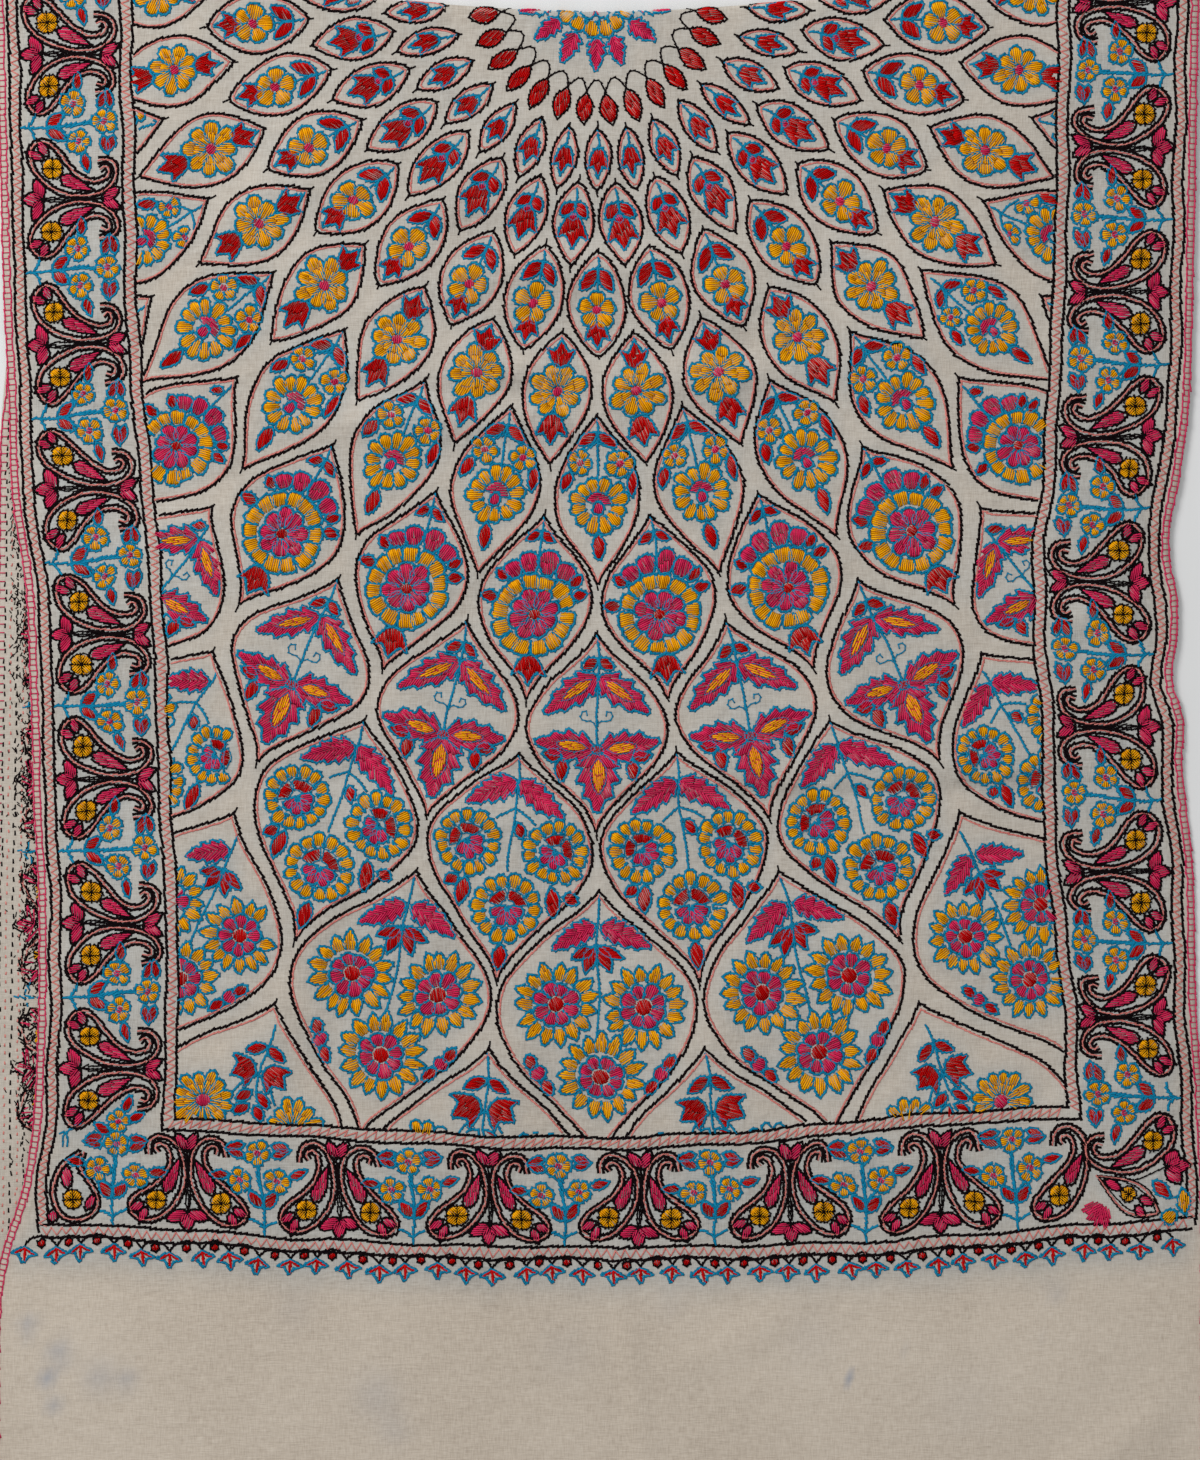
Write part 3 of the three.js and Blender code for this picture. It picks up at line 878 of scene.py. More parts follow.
def ring_angle(step):
    """The direction of a cell that lies `step` steps from the centre line."""
    crowding = SIDE_CROWDING * max(0, step - SIDE_FROM) ** 1.33
    return math.radians(STEP * step - STEP_DRIFT * math.sin(math.pi * step / DRIFT_CYCLE) - crowding)


def polar_spot(radius, angle):
    x, down = CENTRE[0] + radius * math.sin(angle), CENTRE[1] + radius * math.cos(angle)
    return Spot(x, down, angle, keep=in_field)


def cell_outline(ring, inset=0.0):
    """A cell's outline about its widest place."""
    low, high = ring["inner"] - ring["wide"], ring["outer"] - ring["wide"]
    t = np.linspace(0, 1, CELL_STEPS)
    half = ring["half"] - inset
    swell = np.sin(math.pi / 2 * t)
    inner = paired(half * swell ** ring["in_round"], (low + TIP_INSET * inset) * (1 - t))
    outer = paired(half * swell ** ring["out_round"], (high - TIP_INSET * inset) * (1 - t))
    return mirrored(np.vstack([inner, outer[-2::-1]]), 1)


def bud_cell(spot):
    blue_line(spot, [(0, -16), (0.4, -10), (0, -5)])
    tulip(spot.inner(0, -6), 17, 9.5)


def cluster_cell(spot):
    blue_line(spot, [(0, -19), (0.5, -14), (0, -9)])
    leaves(spot, (-0.8, -11, -0.72, 10.5, 6.2), (0.8, -11, 0.72, 10.5, 6.2))
    tulip(spot.inner(0, -4), 20, 14)
    disc(spot.inner(-0.6, -3.6), 2.2, "magenta")


def sprig_cell(spot):
    blue_line(spot, [(0, -27), (0.6, -20), (0, -9)])
    leaf_pair(spot.inner(0, -20), 0.66, 15, 7)
    flower = spot.inner(0, 3.5)
    petal_ring(flower, 2.4, 11.6, 5, fill=0.76)
    disc(flower, 2.8, "magenta", line=None)
    tulip(spot.inner(0, 10.2), 15.5, 11)


def daisy_cell(spot):
    blue_line(spot, [(0, -31), (0.5, -27)])
    tulip(spot.inner(0, -13, math.pi), 16, 12.5)
    tulip(spot.inner(0, 14), 18, 13.5)
    petal_ring(spot, 2.9, 16.2, 8, fill=0.84)
    disc(spot, 3.2, "magenta", line=None)


def crescent(spot, inner, outer, start, end, yarn):
    """A piece of a ring, between two directions."""
    points = headings(np.linspace(start, end, 5))
    arc = np.vstack([points * outer, (points * inner)[::-1]])
    shape(spot, arc, yarn, math.pi / 2 - (start + end) / 2, "blue", 1.0)


def bunch_cell(spot):
    blue_line(spot, [(0, -44), (0.6, -36), (0, -27), (0.4, -16), (0, -10)])
    blue_line(spot, [(0, -31), (-5, -27), (-9, -24)])
    blue_line(spot, [(0, -30), (7, -28), (12, -24)])
    leaf_pair(spot.inner(0, -35), 1.03, 12.5, 6)
    leaves(spot, (-16.5, -13, -0.35, 12, 6), (20, -14, 0.05, 14, 5.6), (0.6, 22.5, 0, 15.5, 7))
    small_flower(spot.inner(-10.5, -19), 7.4)
    small_flower(spot.inner(12.5, -18.5), 7.8)
    big = spot.inner(1, 5)
    petal_ring(big, 7.2, 17.4, 12, fill=0.88)
    crescent(big, 2.4, 7.4, math.pi - 1.5, math.pi + 1.3, "magenta")
    blob(big.inner(0, -1), 6.6, 5.4)


def rosette_cell(spot):
    blue_line(spot, [(0, -49), (0.7, -38), (0, -24)])
    leaf_pair(spot.inner(0, -40), 1.0, 9, 5)
    centre = spot.inner(0, 7)
    top = centre.inner(0, 0, math.pi)
    for bend, length in ((-0.54, 10), (-0.19, 13), (0.19, 11.5), (0.54, 9.5)):
        blob(top.inner(0, 0, bend).inner(0, 24.2), length, 10.6)
    for side in (-1, 1):
        leaf(top.inner(0, 0, side * 0.8).inner(0, 25.5), 8.5, 6)
    leaf(top.inner(0, 0, -1.02).inner(0, 23.5, -0.4), 9.5, 5.6)
    leaf(top.inner(0, 0, 1.26).inner(0, 23.5, 0.3), 9.5, 6)
    tulip(spot.inner(0, 31), 17, 15.5)
    petal_ring(centre, 14.8, 23.8, 14, "square", fill=0.92)
    petal_ring(centre, 3.0, 15.0, 8, yarn="magenta", fill=0.92)
    disc(centre, 3.2, "red", line=None)


def tendril(spot, side):
    turns = np.linspace(0, 1.6 * math.pi, 9)
    curl = [(side * (6.5 + (3.6 - 0.5 * a) * math.sin(a)), 1 + (3.6 - 0.5 * a) * math.cos(a)) for a in turns]
    blue_line(spot, [(0, 8), (side * 2, 4.6)] + curl, 1.1)


def trefoil_cell(spot):
    blue_line(spot, [(0, -52), (0.7, -40), (0, -28), (0.4, -10), (0, 12)])
    leaf_pair(spot.inner(0, -39), 1.05, 10, 5.4)
    for side in (-1, 1):
        toothed_leaf(spot.inner(side * 0.6, -30, side * 0.93), 37, 16, 0.55)
        tendril(spot.inner(0, -8), side)
        leaves(spot, (side * 20, 17.5, side * 1.8, 11, 6.6), (side * 19.5, 18.5, side * 0.1, 12.5, 6.8))
    toothed_leaf(spot.inner(0, 15), 34, 23, 0.58)
    for side in (-1, 1):
        toothed_leaf(spot.inner(side * 1.2, 13.5, side * 1.72), 34, 17.5, 0.52)
    disc(spot.inner(0, 13.5), 2.9, "red")


def sunny(spot, radius, heading):
    """A round flower whose heart is two pieces of a red ring over magenta petals."""
    petal_ring(spot, radius * 0.6, radius, 14, fill=0.84, phase=RNG.uniform(0, 1))
    heart = spot.inner(0, 0, heading)
    for start, end in ((-1.35, -0.1), (0.15, 1.25)):
        crescent(heart, radius * 0.24, radius * 0.54, math.pi + start, math.pi + end, "red")
    for bend, reach in ((-1.15, 0.4), (-0.35, 0.48), (0.45, 0.5), (1.2, 0.42)):
        blob(heart.inner(0, 0, bend).inner(0, radius * 0.06), radius * reach, radius * 0.3)


def triple_cell(spot):
    blue_line(spot, [(0, -53), (0.8, -40), (0, -28), (0.6, -8), (0, 14)])
    blue_line(spot, [(0, -22), (-5, -19), (-10, -16)])
    blue_line(spot, [(0, -22), (8, -18), (13, -14)])
    toothed_leaf(spot.inner(-0.6, -38, -1.05), 31, 13.5, teeth=5)
    toothed_leaf(spot.inner(0.8, -38.5, 0.93), 34, 13.5, teeth=5)
    leaf(spot.inner(3, -14, 0.45), 9, 5.4)
    for across, along, radius, heading in ((-24.5, 0, 19, 0.6), (26.5, 1.5, 19, -0.5), (1, 35.5, 20, 0.05)):
        sunny(spot.inner(across, along), radius, heading)
    leaves(spot, (-25, 20.5, -0.1, 16, 7.4), (-29.5, 20, -0.9, 8, 6), (26, 22.5, 0.15, 17, 7.6),
           (33.5, 26.5, 1.3, 8, 6), (0.4, 56.5, 0, 15, 7.8))


def sunflower(spot, radius):
    """Pointed yellow petals round a ring of magenta ones, with a cluster of red at the heart."""
    petal_ring(spot, radius * 0.56, radius, 15, "pointed", fill=0.95, phase=RNG.uniform(0, 1))
    petal_ring(spot, radius * 0.19, radius * 0.53, 8, yarn="magenta", fill=0.9)
    disc(spot, radius * 0.19, "red", line=None)


def two_tone_bud(spot):
    leaf(spot, 10, 6.2)
    disc(spot.inner(0, 12.5), 4.2, "magenta")
    leaf(spot.inner(0, 17), 10, 6)


def forked_leaf(spot, side):
    leaves(spot, (0, 0, side * 0.35, 16, 6.8), (0, 1, side * 1.15, 14, 6.2))


def grand_cell(spot):
    blue_line(spot, [(0, -66), (0.8, -50), (0, -34), (0.6, -10), (0, 16)])
    toothed_leaf(spot.inner(-1, -50, -1.0), 29, 13, teeth=5)
    toothed_leaf(spot.inner(3, -50, 1.12), 30, 13, teeth=5)
    forked_leaf(spot.inner(-1, -36), -1)
    forked_leaf(spot.inner(1.5, -37), 1)
    for across, along in ((-24, -3.5), (27, -2.5), (2, 38)):
        sunflower(spot.inner(across, along), 25)
    two_tone_bud(spot.inner(-40, 26, 0.55))
    two_tone_bud(spot.inner(44, 27, -0.65))


def last_cell(spot):
    top = RINGS[-1]["inner"] - RINGS[-1]["wide"]
    blue_line(spot, [(0, top + 3), (0.8, top + 18), (0, top + 30), (0.4, top + 46)])
    leaf_pair(spot.inner(0, top + 17), 1.05, 14, 6.6)
    for side in (-1, 1):
        tulip(spot.inner(side * 4, top + 31, side * 0.95), 17, 17)
        blue_line(spot, [(0, top + 36), (side * 8, top + 42), (side * 14, top + 52)])
        flower = spot.inner(side * 30, top + 64)
        petal_ring(flower, 4.4, 19.5, 13, fill=0.9)
        disc(flower, 4.6, "magenta", line=None)
        leaves(spot, (side * 2, top + 47, side * 0.8, 12, 6), (side * 2, top + 56, side * 0.7, 11, 6))


CELL_FILLS = [bud_cell, cluster_cell, sprig_cell, daisy_cell, bunch_cell, rosette_cell, trefoil_cell,
              triple_cell, grand_cell, last_cell]


def make_cells():
    for number, (ring, fill) in enumerate(zip(RINGS, CELL_FILLS)):
        step = 0.5 if number % 2 else 0.0
        while step <= MOST_STEPS:
            for side in ((-1, 1) if step else (1,)):
                radius = ring["wide"] * (1 + SIDE_SPREAD * max(0, step - SIDE_FROM) ** 1.5)
                make_cell(polar_spot(radius, side * ring_angle(step)), ring, fill)
            step += 1


def in_cell(local, ring, inset=0.0):
    """Whether local points lie inside a cell's outline."""
    right = cell_outline(ring, inset)[:2 * CELL_STEPS - 1]
    return np.abs(local[:, 0]) < np.interp(local[:, 1], right[:, 1], right[:, 0], left=0, right=0)


def fitted(spot, ring):
    """Where a cell's motif goes: moved in and made smaller where the field's side cuts the cell."""
    across, along = np.meshgrid(np.linspace(-1, 1, FIT_COLUMNS) * ring["half"],
                                np.linspace(ring["inner"], ring["outer"], FIT_ROWS) - ring["wide"])
    local = paired(across.ravel(), along.ravel())
    placed = spot.at(local[in_cell(local, ring)])
    seen = between_sides(placed)
    if seen.all() or not seen.any():
        return spot

    def room(points):
        x, down = points[:, 0] - spot.x, points[:, 1] - spot.down
        return in_cell(rotated(x, down, spot.angle), ring, ROOM_INSET)

    def keep(points):
        return in_field(points) & room(points)

    towards = placed[seen].mean(axis=0) - (spot.x, spot.down)
    x, down = np.array([spot.x, spot.down]) + towards * CUT_SHIFT
    return Spot(x, down, spot.angle, spot.flip, keep, CUT_SIZE, room)


def make_cell(spot, ring, fill):
    spot.stem("black", cell_outline(ring), width=2.0, pitch=3.1, closed=True, wobble=0.3)
    for end, way in (("inner", -1), ("outer", 1)):
        tip = spot.inner(0, ring[end] - ring["wide"])
        tip.stem("black", [(0, -way), (0.4, RNG.uniform(0.5, 4) * way)], width=1.4)
    inset = SALMON_INSET * (1 + ring["half"] / 140)
    spot.stem("salmon", cell_outline(ring, inset), width=1.35, closed=True)
    fill(fitted(spot, ring))


def make_medallion():
    """The middle: yellow and magenta petals, and a ring of red buds hung on black loops."""
    centre = Spot(MEDALLION["x"], MEDALLION["down"], keep=in_field)
    inner, outer = MEDALLION["yellow"]
    petal_ring(centre, inner, outer, 16, fill=0.9, phase=0.7)
    petal_ring(centre, 6, inner - 1.5, 8, yarn="magenta", fill=0.8)
    inner, outer = MEDALLION["magenta"]
    for k in range(MEDALLION["leaves"]):
        turn = TAU * k / MEDALLION["leaves"] + RNG.normal(0, 0.02)
        place = centre.inner(0, 0, turn).inner(0, inner)
        toothed_leaf(place, outer - inner, 9.5)
    tips = []
    for k in range(-BUDS_A_SIDE, BUDS_A_SIDE):
        angle = ring_angle(k + 0.5) if k >= 0 else -ring_angle(-k - 0.5)
        bud = polar_spot(BUD_RING["inner"], angle)
        length = BUD_RING["outer"] - BUD_RING["inner"]
        shape(bud, lens(length, BUD_RING["width"], 0.8, 0.5), "red", 0.3, "black", 1.6)
        tips.append(angle)
    for a, b in zip(tips[:-1], tips[1:]):
        angles = np.linspace(a, b, 9)
        radii = BUD_RING["inner"] - 1 - LOOP_DEPTH * np.sin(math.pi * np.linspace(0, 1, 9)) ** 0.7
        stem_stitch("black", CENTRE + radii[:, None] * headings(angles), width=1.4, keep=in_field)


# The bands and borders

BAND_TOP = -34
SIDE_ZIGZAG, HEM_ZIGZAG = 4.2, 5.6
HEM_BAND_WIDTH = 7.2
CORNER_DOWN, FIELD_CORNER_DOWN = 690.0, 632.0
LEFT_LINE_STRAIGHT_FROM = 668
SIDE_PAIRS, SIDE_PITCH = 8, 83.3
LEFT_PAIRS_FROM, RIGHT_PAIRS_FROM = 24.5, -5.5
HEM_PAIRS, HEM_PITCH = 6, 86.6
HEM_PAIRS_FROM = -237
RIGHT_LAST_PAIR = 668
HEM_LAST_PAIR = 282.5
CHAIN_PITCH = 16.9
CHAIN_DROP = 11.4
CHAIN_DOWN = 712.0  # where the chain's ends are taken from the cloth's edges

# One paisley of a back-to-back pair, from the curl of its tail: inward from the border's outer line, and
# along the border from the middle of the pair
PAISLEY = [
    (46.5, 17), (49.8, 18.4), (51.6, 15.5), (49.3, 11.8), (42, 10.4), (34, 13.8), (27, 20.5), (20, 29.2),
    (13.4, 33.6), (7.6, 32), (4.6, 26.4), (5.4, 19.2), (9.7, 12.5), (18.1, 6.4), (29.3, 2.4), (40.5, 2.3),
    (49.5, 5), (55, 10.5), (56, 16.8), (52.5, 21.3), (45.5, 22.3)]
PAISLEY_WIDTH = 60  # the border width that those numbers are for
LEFT_CORNER_DROP = [
    (-298, 656), (-309, 664), (-314, 678), (-311, 690), (-303, 694), (-292, 691), (-289, 683),
    (-295, 671), (-299, 663), (-296, 656)]


def zigzag(first, second, pitch):
    """Salmon stitches back and forth between two lines."""
    length = np.hypot(*np.diff(first, axis=0).T).sum()
    count = 2 * int(length / pitch)
    a, b = resample(first, length / count, False), resample(second, length / count, False)
    n = min(len(a), len(b), count)
    points = np.where((np.arange(n) % 2 == 0)[:, None], a[:n], b[:n]) + RNG.normal(0, 0.25, (n, 2))
    lay("salmon", points[:-1], points[1:] + (points[1:] - points[:-1]) * 0.08, 1.1, 0.6)


def band(first, second, pitch):
    """Two black lines with a salmon zigzag between them."""
    stem_stitch("black", first, width=2.1, pitch=3.2, wobble=0.3)
    stem_stitch("black", second, width=2.1, pitch=3.2, wobble=0.3)
    zigzag(first * 0.82 + second * 0.18, first * 0.18 + second * 0.82, pitch)


def outer_x(side, distance, down):
    """x of a line that follows the cloth's left (-1) or right (1) edge at a distance inside it."""
    if side < 0:
        return side_left(UPPER_EDGES, np.minimum(down, LEFT_LINE_STRAIGHT_FROM)) + distance
    return side_right(UPPER_EDGES, down) - distance


def field_x(side, distance, down):
    return curve_through(FIELD_SIDES, LEFT if side < 0 else RIGHT, down) + side * distance


def side_line(x_of, side, distance, bottom):
    down = np.linspace(BAND_TOP, bottom, 60)
    return paired(x_of(side, distance, down), down)


def make_bands():
    near_edge, inside = OUTER_BAND
    for side in (-1, 1):
        end = hem_at(outer_x(side, inside, CORNER_DOWN))
        outer = side_line(outer_x, side, near_edge, end + 4)
        band(outer, side_line(outer_x, side, inside, end), SIDE_ZIGZAG)
        end = field_end(field_x(side, 0, FIELD_CORNER_DOWN))
        outer = side_line(field_x, side, BAND_WIDTH, end + BAND_WIDTH)
        band(outer, side_line(field_x, side, 0, end), SIDE_ZIGZAG)
    upper, lower = np.linspace(-244, 269, 60), np.linspace(-251, 275, 60)
    band(paired(upper, field_end(upper)), paired(lower, field_end(lower) + BAND_WIDTH), HEM_ZIGZAG)
    left, right = (outer_x(side, near_edge, CORNER_DOWN) for side in (-1, 1))
    x = np.linspace(left + 2, right - 2, 70)
    band(paired(x, hem_at(x)), paired(x, hem_at(x) + HEM_BAND_WIDTH), HEM_ZIGZAG)


class Strip:
    """A place along a border. Local points are (inward, along), with inward from the border's outer line."""

    def __init__(self, to_cloth, angle, spin, flip):
        """spin says which way round the border's along axis lies from its inward axis."""
        self.to_cloth, self.angle, self.flip, self.way = to_cloth, angle, flip, spin * flip

    def at(self, points):
        return self.to_cloth(np.atleast_2d(np.asarray(points, dtype=float)) * (1, self.flip))

    def spot(self, inward, along, angle=0.0):
        """A spot whose along axis points inward, turned by an angle towards the border's along axis."""
        (x, down), = self.at((inward, along))
        return Spot(x, down, self.angle + angle * self.way, self.way)


def between(outer, inner, points):
    """Where points lie that are inward from an outer to an inner line."""
    return outer + (inner - outer) * points[:, 0] / PAISLEY_WIDTH


def side_strip(side, centre, flip=1):
    """A strip across the left (-1) or right (1) border about a distance down."""
    def to_cloth(points):
        down = centre + points[:, 1]
        outer, inner = outer_x(side, OUTER_BAND[1], down), field_x(side, BAND_WIDTH, down)
        return paired(between(outer, inner, points), down)
    return Strip(to_cloth, -side * math.pi / 2, side, flip)


def hem_strip(centre, flip=1):
    """A strip up the bottom border about an x."""
    def to_cloth(points):
        x = centre + points[:, 1]
        return paired(x, between(hem_at(x), field_end(x) + BAND_WIDTH, points))
    return Strip(to_cloth, math.pi, -1, flip)


left_strip, right_strip = partial(side_strip, -1), partial(side_strip, 1)


def bordered_leaf(spot, length, width, blunt=0.8, widest=0.45):
    shape(spot, lens(length, width, blunt, widest), "magenta", 0.3, "black", 1.9)


def quartered_disc(spot, radius):
    """Four yellow lobes with a black line round each, under a black cross."""
    for k in range(4):
        lobe = spot.inner(0, 0, TAU * (k + 0.5) / 4 + RNG.normal(0, 0.06))
        shape(lobe, petal("round", radius, radius * 1.1), "yellow", 0.0, "black", 1.15)
    for turn in (0, math.pi / 2):
        line = [(0, -radius), (0, radius)]
        spot.inner(0, 0, turn).stem("black", line, width=1.5, pitch=4, height=1.3)


def corded_line(points, strip=None):
    """Salmon between two black lines."""
    for distance, yarn, width in ((1.45, "black", 2.15), (0, "salmon", 1.15), (-1.45, "black", 2.15)):
        line = offset_line(points, distance)
        stem_stitch(yarn, strip.at(line) if strip else line, width=width, wobble=0.3)


def paisley(strip):
    corded_line(smooth_line(PAISLEY, steps=5), strip)
    quartered_disc(strip.spot(17.4, 18.4), 6.0)
    bordered_leaf(strip.spot(22.5, 13.6, -0.42), 21, 6.8, blunt=0.9, widest=0.3)
    bordered_leaf(strip.spot(12, 24, 2.75), 9.5, 4.6)
    bordered_leaf(strip.spot(14.5, 26, 2.1), 9, 4.6)


def paisley_pair(make_strip, centre):
    for flip in (-1, 1):
        paisley(make_strip(centre, flip))
    strip = make_strip(centre, 1)
    for along in (-1.1, 0.3, 1.5):
        points = smooth_line([(12, 0), (18, along), (26, along * 0.8), (46, 0)])
        stem_stitch("black", strip.at(points), width=1.3, wobble=0.3)
    for bend, length, width in ((-1.95, 12.5, 6.4), (1.95, 12.5, 6.4), (math.pi, 11, 7.4)):
        bordered_leaf(strip.spot(11.5, 0, bend), length, width)
    for bend in (-0.55, 0.55):
        bordered_leaf(strip.spot(48, 0, bend), 11.5, 5.8)


def border_sprig(make_strip, centre, flip=1):
    strip = make_strip(centre, flip)

    def line(points):
        stem_stitch("blue", strip.at(smooth_line(points)), width=2.2, wobble=0.35)

    line([(0.5, 0), (12, 0.4), (26, -0.4), (45, -2)])
    line([(5, 0), (8, -3.5), (9.5, -8)])
    line([(5, 0), (7.5, 3.5), (8.5, 7)])
    for side in (-1, 1):
        leaf(strip.spot(16.5, side * 1.2, side * 0.62), 11, 5.8)
    for inward, along in ((31.5, -13), (33.5, 8.5), (49.5, -3)):
        line([(22, 0), ((22 + inward) / 2, along * 0.7), (inward, along)])
        small_flower(strip.spot(inward, along), 7.0)
    for inward, along, turn in ((34, -20.5, -1.5), (37, 15.5, 1.35), (47, -10.5, -1.2), (54, -11, -1.75),
                                (48.5, 6, 1.35), (54.5, 5.5, 1.9)):
        leaf(strip.spot(inward, along, turn), 10, 4.6)


def make_borders():
    for make_strip, first in ((left_strip, LEFT_PAIRS_FROM), (right_strip, RIGHT_PAIRS_FROM)):
        for k in range(-1, SIDE_PAIRS):
            paisley_pair(make_strip, first + k * SIDE_PITCH)
        for k in range(-1, SIDE_PAIRS - 1):
            border_sprig(make_strip, first + (k + 0.5) * SIDE_PITCH)
    for k in range(HEM_PAIRS):
        paisley_pair(hem_strip, HEM_PAIRS_FROM + k * HEM_PITCH)
    border_sprig(hem_strip, HEM_PAIRS_FROM - 0.5 * HEM_PITCH, -1)
    for k in range(HEM_PAIRS):
        border_sprig(hem_strip, HEM_PAIRS_FROM + (k + 0.5) * HEM_PITCH)
    make_left_corner()
    make_right_corner()


def make_left_corner():
    """The corner's own paisley, which stands alone."""
    corded_line(smooth_line(LEFT_CORNER_DROP, steps=4))
    quartered_disc(Spot(-303.5, 682), 5.2)
    for x, down, turn, length, width in (
            (-306, 664, 0, 12, 5.6), (-296, 688, 2.6, 9, 4.6), (-316, 695, 2.9, 7, 5)):
        bordered_leaf(Spot(x, down, turn), length, width)
    for width, wobble, points in (
            (1.6, 0.5, [(-309, 652), (-308, 646), (-303, 642), (-297, 639)]),
            (1.6, 0.5, [(-311, 644), (-306, 645), (-306, 652)]),
            (2.0, 0.35, [(-279, 656), (-278, 648), (-277, 640)])):
        stem_stitch("blue", smooth_line(points), width=width, wobble=wobble)
    small_flower(Spot(-277, 637.5), 6.4)
    for x, down, turn in ((-270.5, 636.5, 2.0), (-282, 644.5, -2.1), (-274, 631.5, 2.75)):
        leaf(Spot(x, down, turn), 10, 5)


def make_right_corner():
    """Where the two borders run into each other: half a pair of each, a leaf and some odd motifs."""
    border_sprig(right_strip, RIGHT_LAST_PAIR - 0.5 * SIDE_PITCH - 2)
    paisley(right_strip(RIGHT_LAST_PAIR, -1))
    paisley(hem_strip(HEM_LAST_PAIR, -1))
    tip = Spot(286, 669, math.atan2(35, 22))
    line = lens(41, 17, 0.8, 0.55, 9)
    stem_stitch("black", tip.at(line * (1.16, 1.03)), width=1.2, closed=True, wobble=0.2)
    stem_stitch("salmon", tip.at(line), width=1.3, closed=True)
    stem_stitch("black", tip.at(line * (0.8, 0.93) + (0, 1.4)), width=1.1, closed=True, wobble=0.2)
    bordered_leaf(tip.inner(0, 5), 10, 5)
    quartered_disc(tip.inner(0.5, 20), 4.6)
    bordered_leaf(tip.inner(2, 27, 0.2), 9, 5)
    bordered_leaf(tip.inner(-3, 28, -0.3), 8, 4.4)
    stem_stitch("black", smooth_line([(290, 670), (305, 671), (318, 667), (326, 664)]), width=1.1)
    for bend in (-0.9, 0.1, 1.0):
        bordered_leaf(Spot(326, 664.5, math.pi / 2 + bend), 13 - 2 * abs(bend), 8)
    for bend in (-0.8, -0.35, 0.1, 0.6):
        Spot(289, 686, bend - 0.5).fill("magenta", lens(14, 7), 0.2)
    leaf(Spot(318, 672, 0.75), 13, 6)
    shape(Spot(334, 677, 0.15), lens(15, 7), "yellow")
    shape(Spot(330, 690, -0.7), petal("round", 8, 8), "yellow")
    stem_stitch("blue", smooth_line([(325, 682), (332, 682), (334, 688), (338, 694)]))


def make_hanging_chain():
    """Under the hem band: black scallops, with a small bud in each and a tulip at each joint."""
    left = side_left(UPPER_EDGES, CHAIN_DOWN) + 13
    count = int((side_right(UPPER_EDGES, CHAIN_DOWN) - 6 - left) / CHAIN_PITCH)

    def joint_at(k):
        x = left + k * CHAIN_PITCH + 1.2 * math.sin(2.3 * k)
        return x, hem_at(x) + CHAIN_DROP + 0.7 * math.sin(1.7 * k)

    cup = [(0, 0.5), (-7.4, 4.8), (-2.8, 5.6), (-0.3, 10.8), (2.8, 5.6), (7.4, 4.8), (0, 0.5)]
    for k in range(count + 1):
        x, down = joint_at(k)
        joint = Spot(x, down, RNG.normal(0, 0.08))
        joint.stem("blue", cup, width=2.1, pitch=2.3, wobble=0.3, height=0.8)
        for bend, length in ((-0.95, 6.2), (0.05, 7.6), (0.95, 6.2)):
            point = joint.inner(0, 1.2, bend)
            point.stem("red", [(0, 0), (0, length)], width=2.1, pitch=3.4, height=0.9)
        if k < count:
            x2, down2 = joint_at(k + 1)
            t = np.linspace(0, 1, 9)
            sag = 5.4 * np.sin(math.pi * t) ** 0.6
            scallop = paired(x + (x2 - x) * t, down + (down2 - down) * t - sag)
            stem_stitch("black", scallop, width=1.8, pitch=2.3)
            bud = Spot((x + x2) / 2, (down + down2) / 2 - 3.6)
            disc(bud.inner(0, 2.0), 2.0, "red", 0.3, "black")


# The edging and the wrong side

EDGING_WIDTH = 4.2
EDGING_PITCH = 3.3
WRONG_SIDE_EDGING_PITCH = 4.9

# Rows of running stitch that show through on the wrong side: distance from the under half's edge, yarn,
# from and to (down), pitch, length, width
WRONG_SIDE_ROWS = [
    (4.5, "under_black", 190, 706, 4.9, 2.9, 1.4), (11.5, "under_black", 190, 704, 5.3, 3.1, 1.5),
    (8, "under_salmon", 200, 700, 5.1, 2.0, 1.3), (15.5, "under_salmon", 200, 700, 4.4, 1.8, 1.3),
    (19, "under_black", 330, 700, 3.2, 2.2, 1.4),
]
BORDER_SHOWN = 6  # how far under the upper half's edge the wrong side is worked
WRONG_SIDE_SHARE = 0.75  # of the stitches that show through
WRONG_SIDE_WIDTH = 0.8  # of the stitches there, as a share of those on the right side
WRONG_SIDE_HEIGHT = 0.4
WRONG_SIDE_JITTER = 0.75
TANGLE_STITCHES = 230


def edging(line, inward, yarn="crimson", pitch=EDGING_PITCH, rails=2):
    """A ladder of blanket stitch: a rail on the edge, a rail inside it and the rungs between."""
    line = resample(line, pitch, False)
    side = left_of(unit(np.gradient(line, axis=0))) * inward
    jitter = RNG.normal(0, 0.25, (len(line), 1))
    outer = line + side * 0.5
    inner = line + side * (EDGING_WIDTH + jitter)
    lay(yarn, outer, inner, 0.85, 0.65)
    for rail in (outer, inner)[:rails]:
        stem_stitch(yarn, rail, width=1.15, pitch=EDGING_PITCH, wobble=0.28, height=0.7)


def make_edging():
    down = np.linspace(-20, HALF_LENGTH, 120)
    edging(paired(side_left(UPPER_EDGES, down), down), -1)
    edging(paired(side_right(UPPER_EDGES, down), down), 1)
    edging(paired(np.linspace(-CLOTH_WIDTH / 2, CLOTH_WIDTH / 2, 80), HALF_LENGTH), -1)


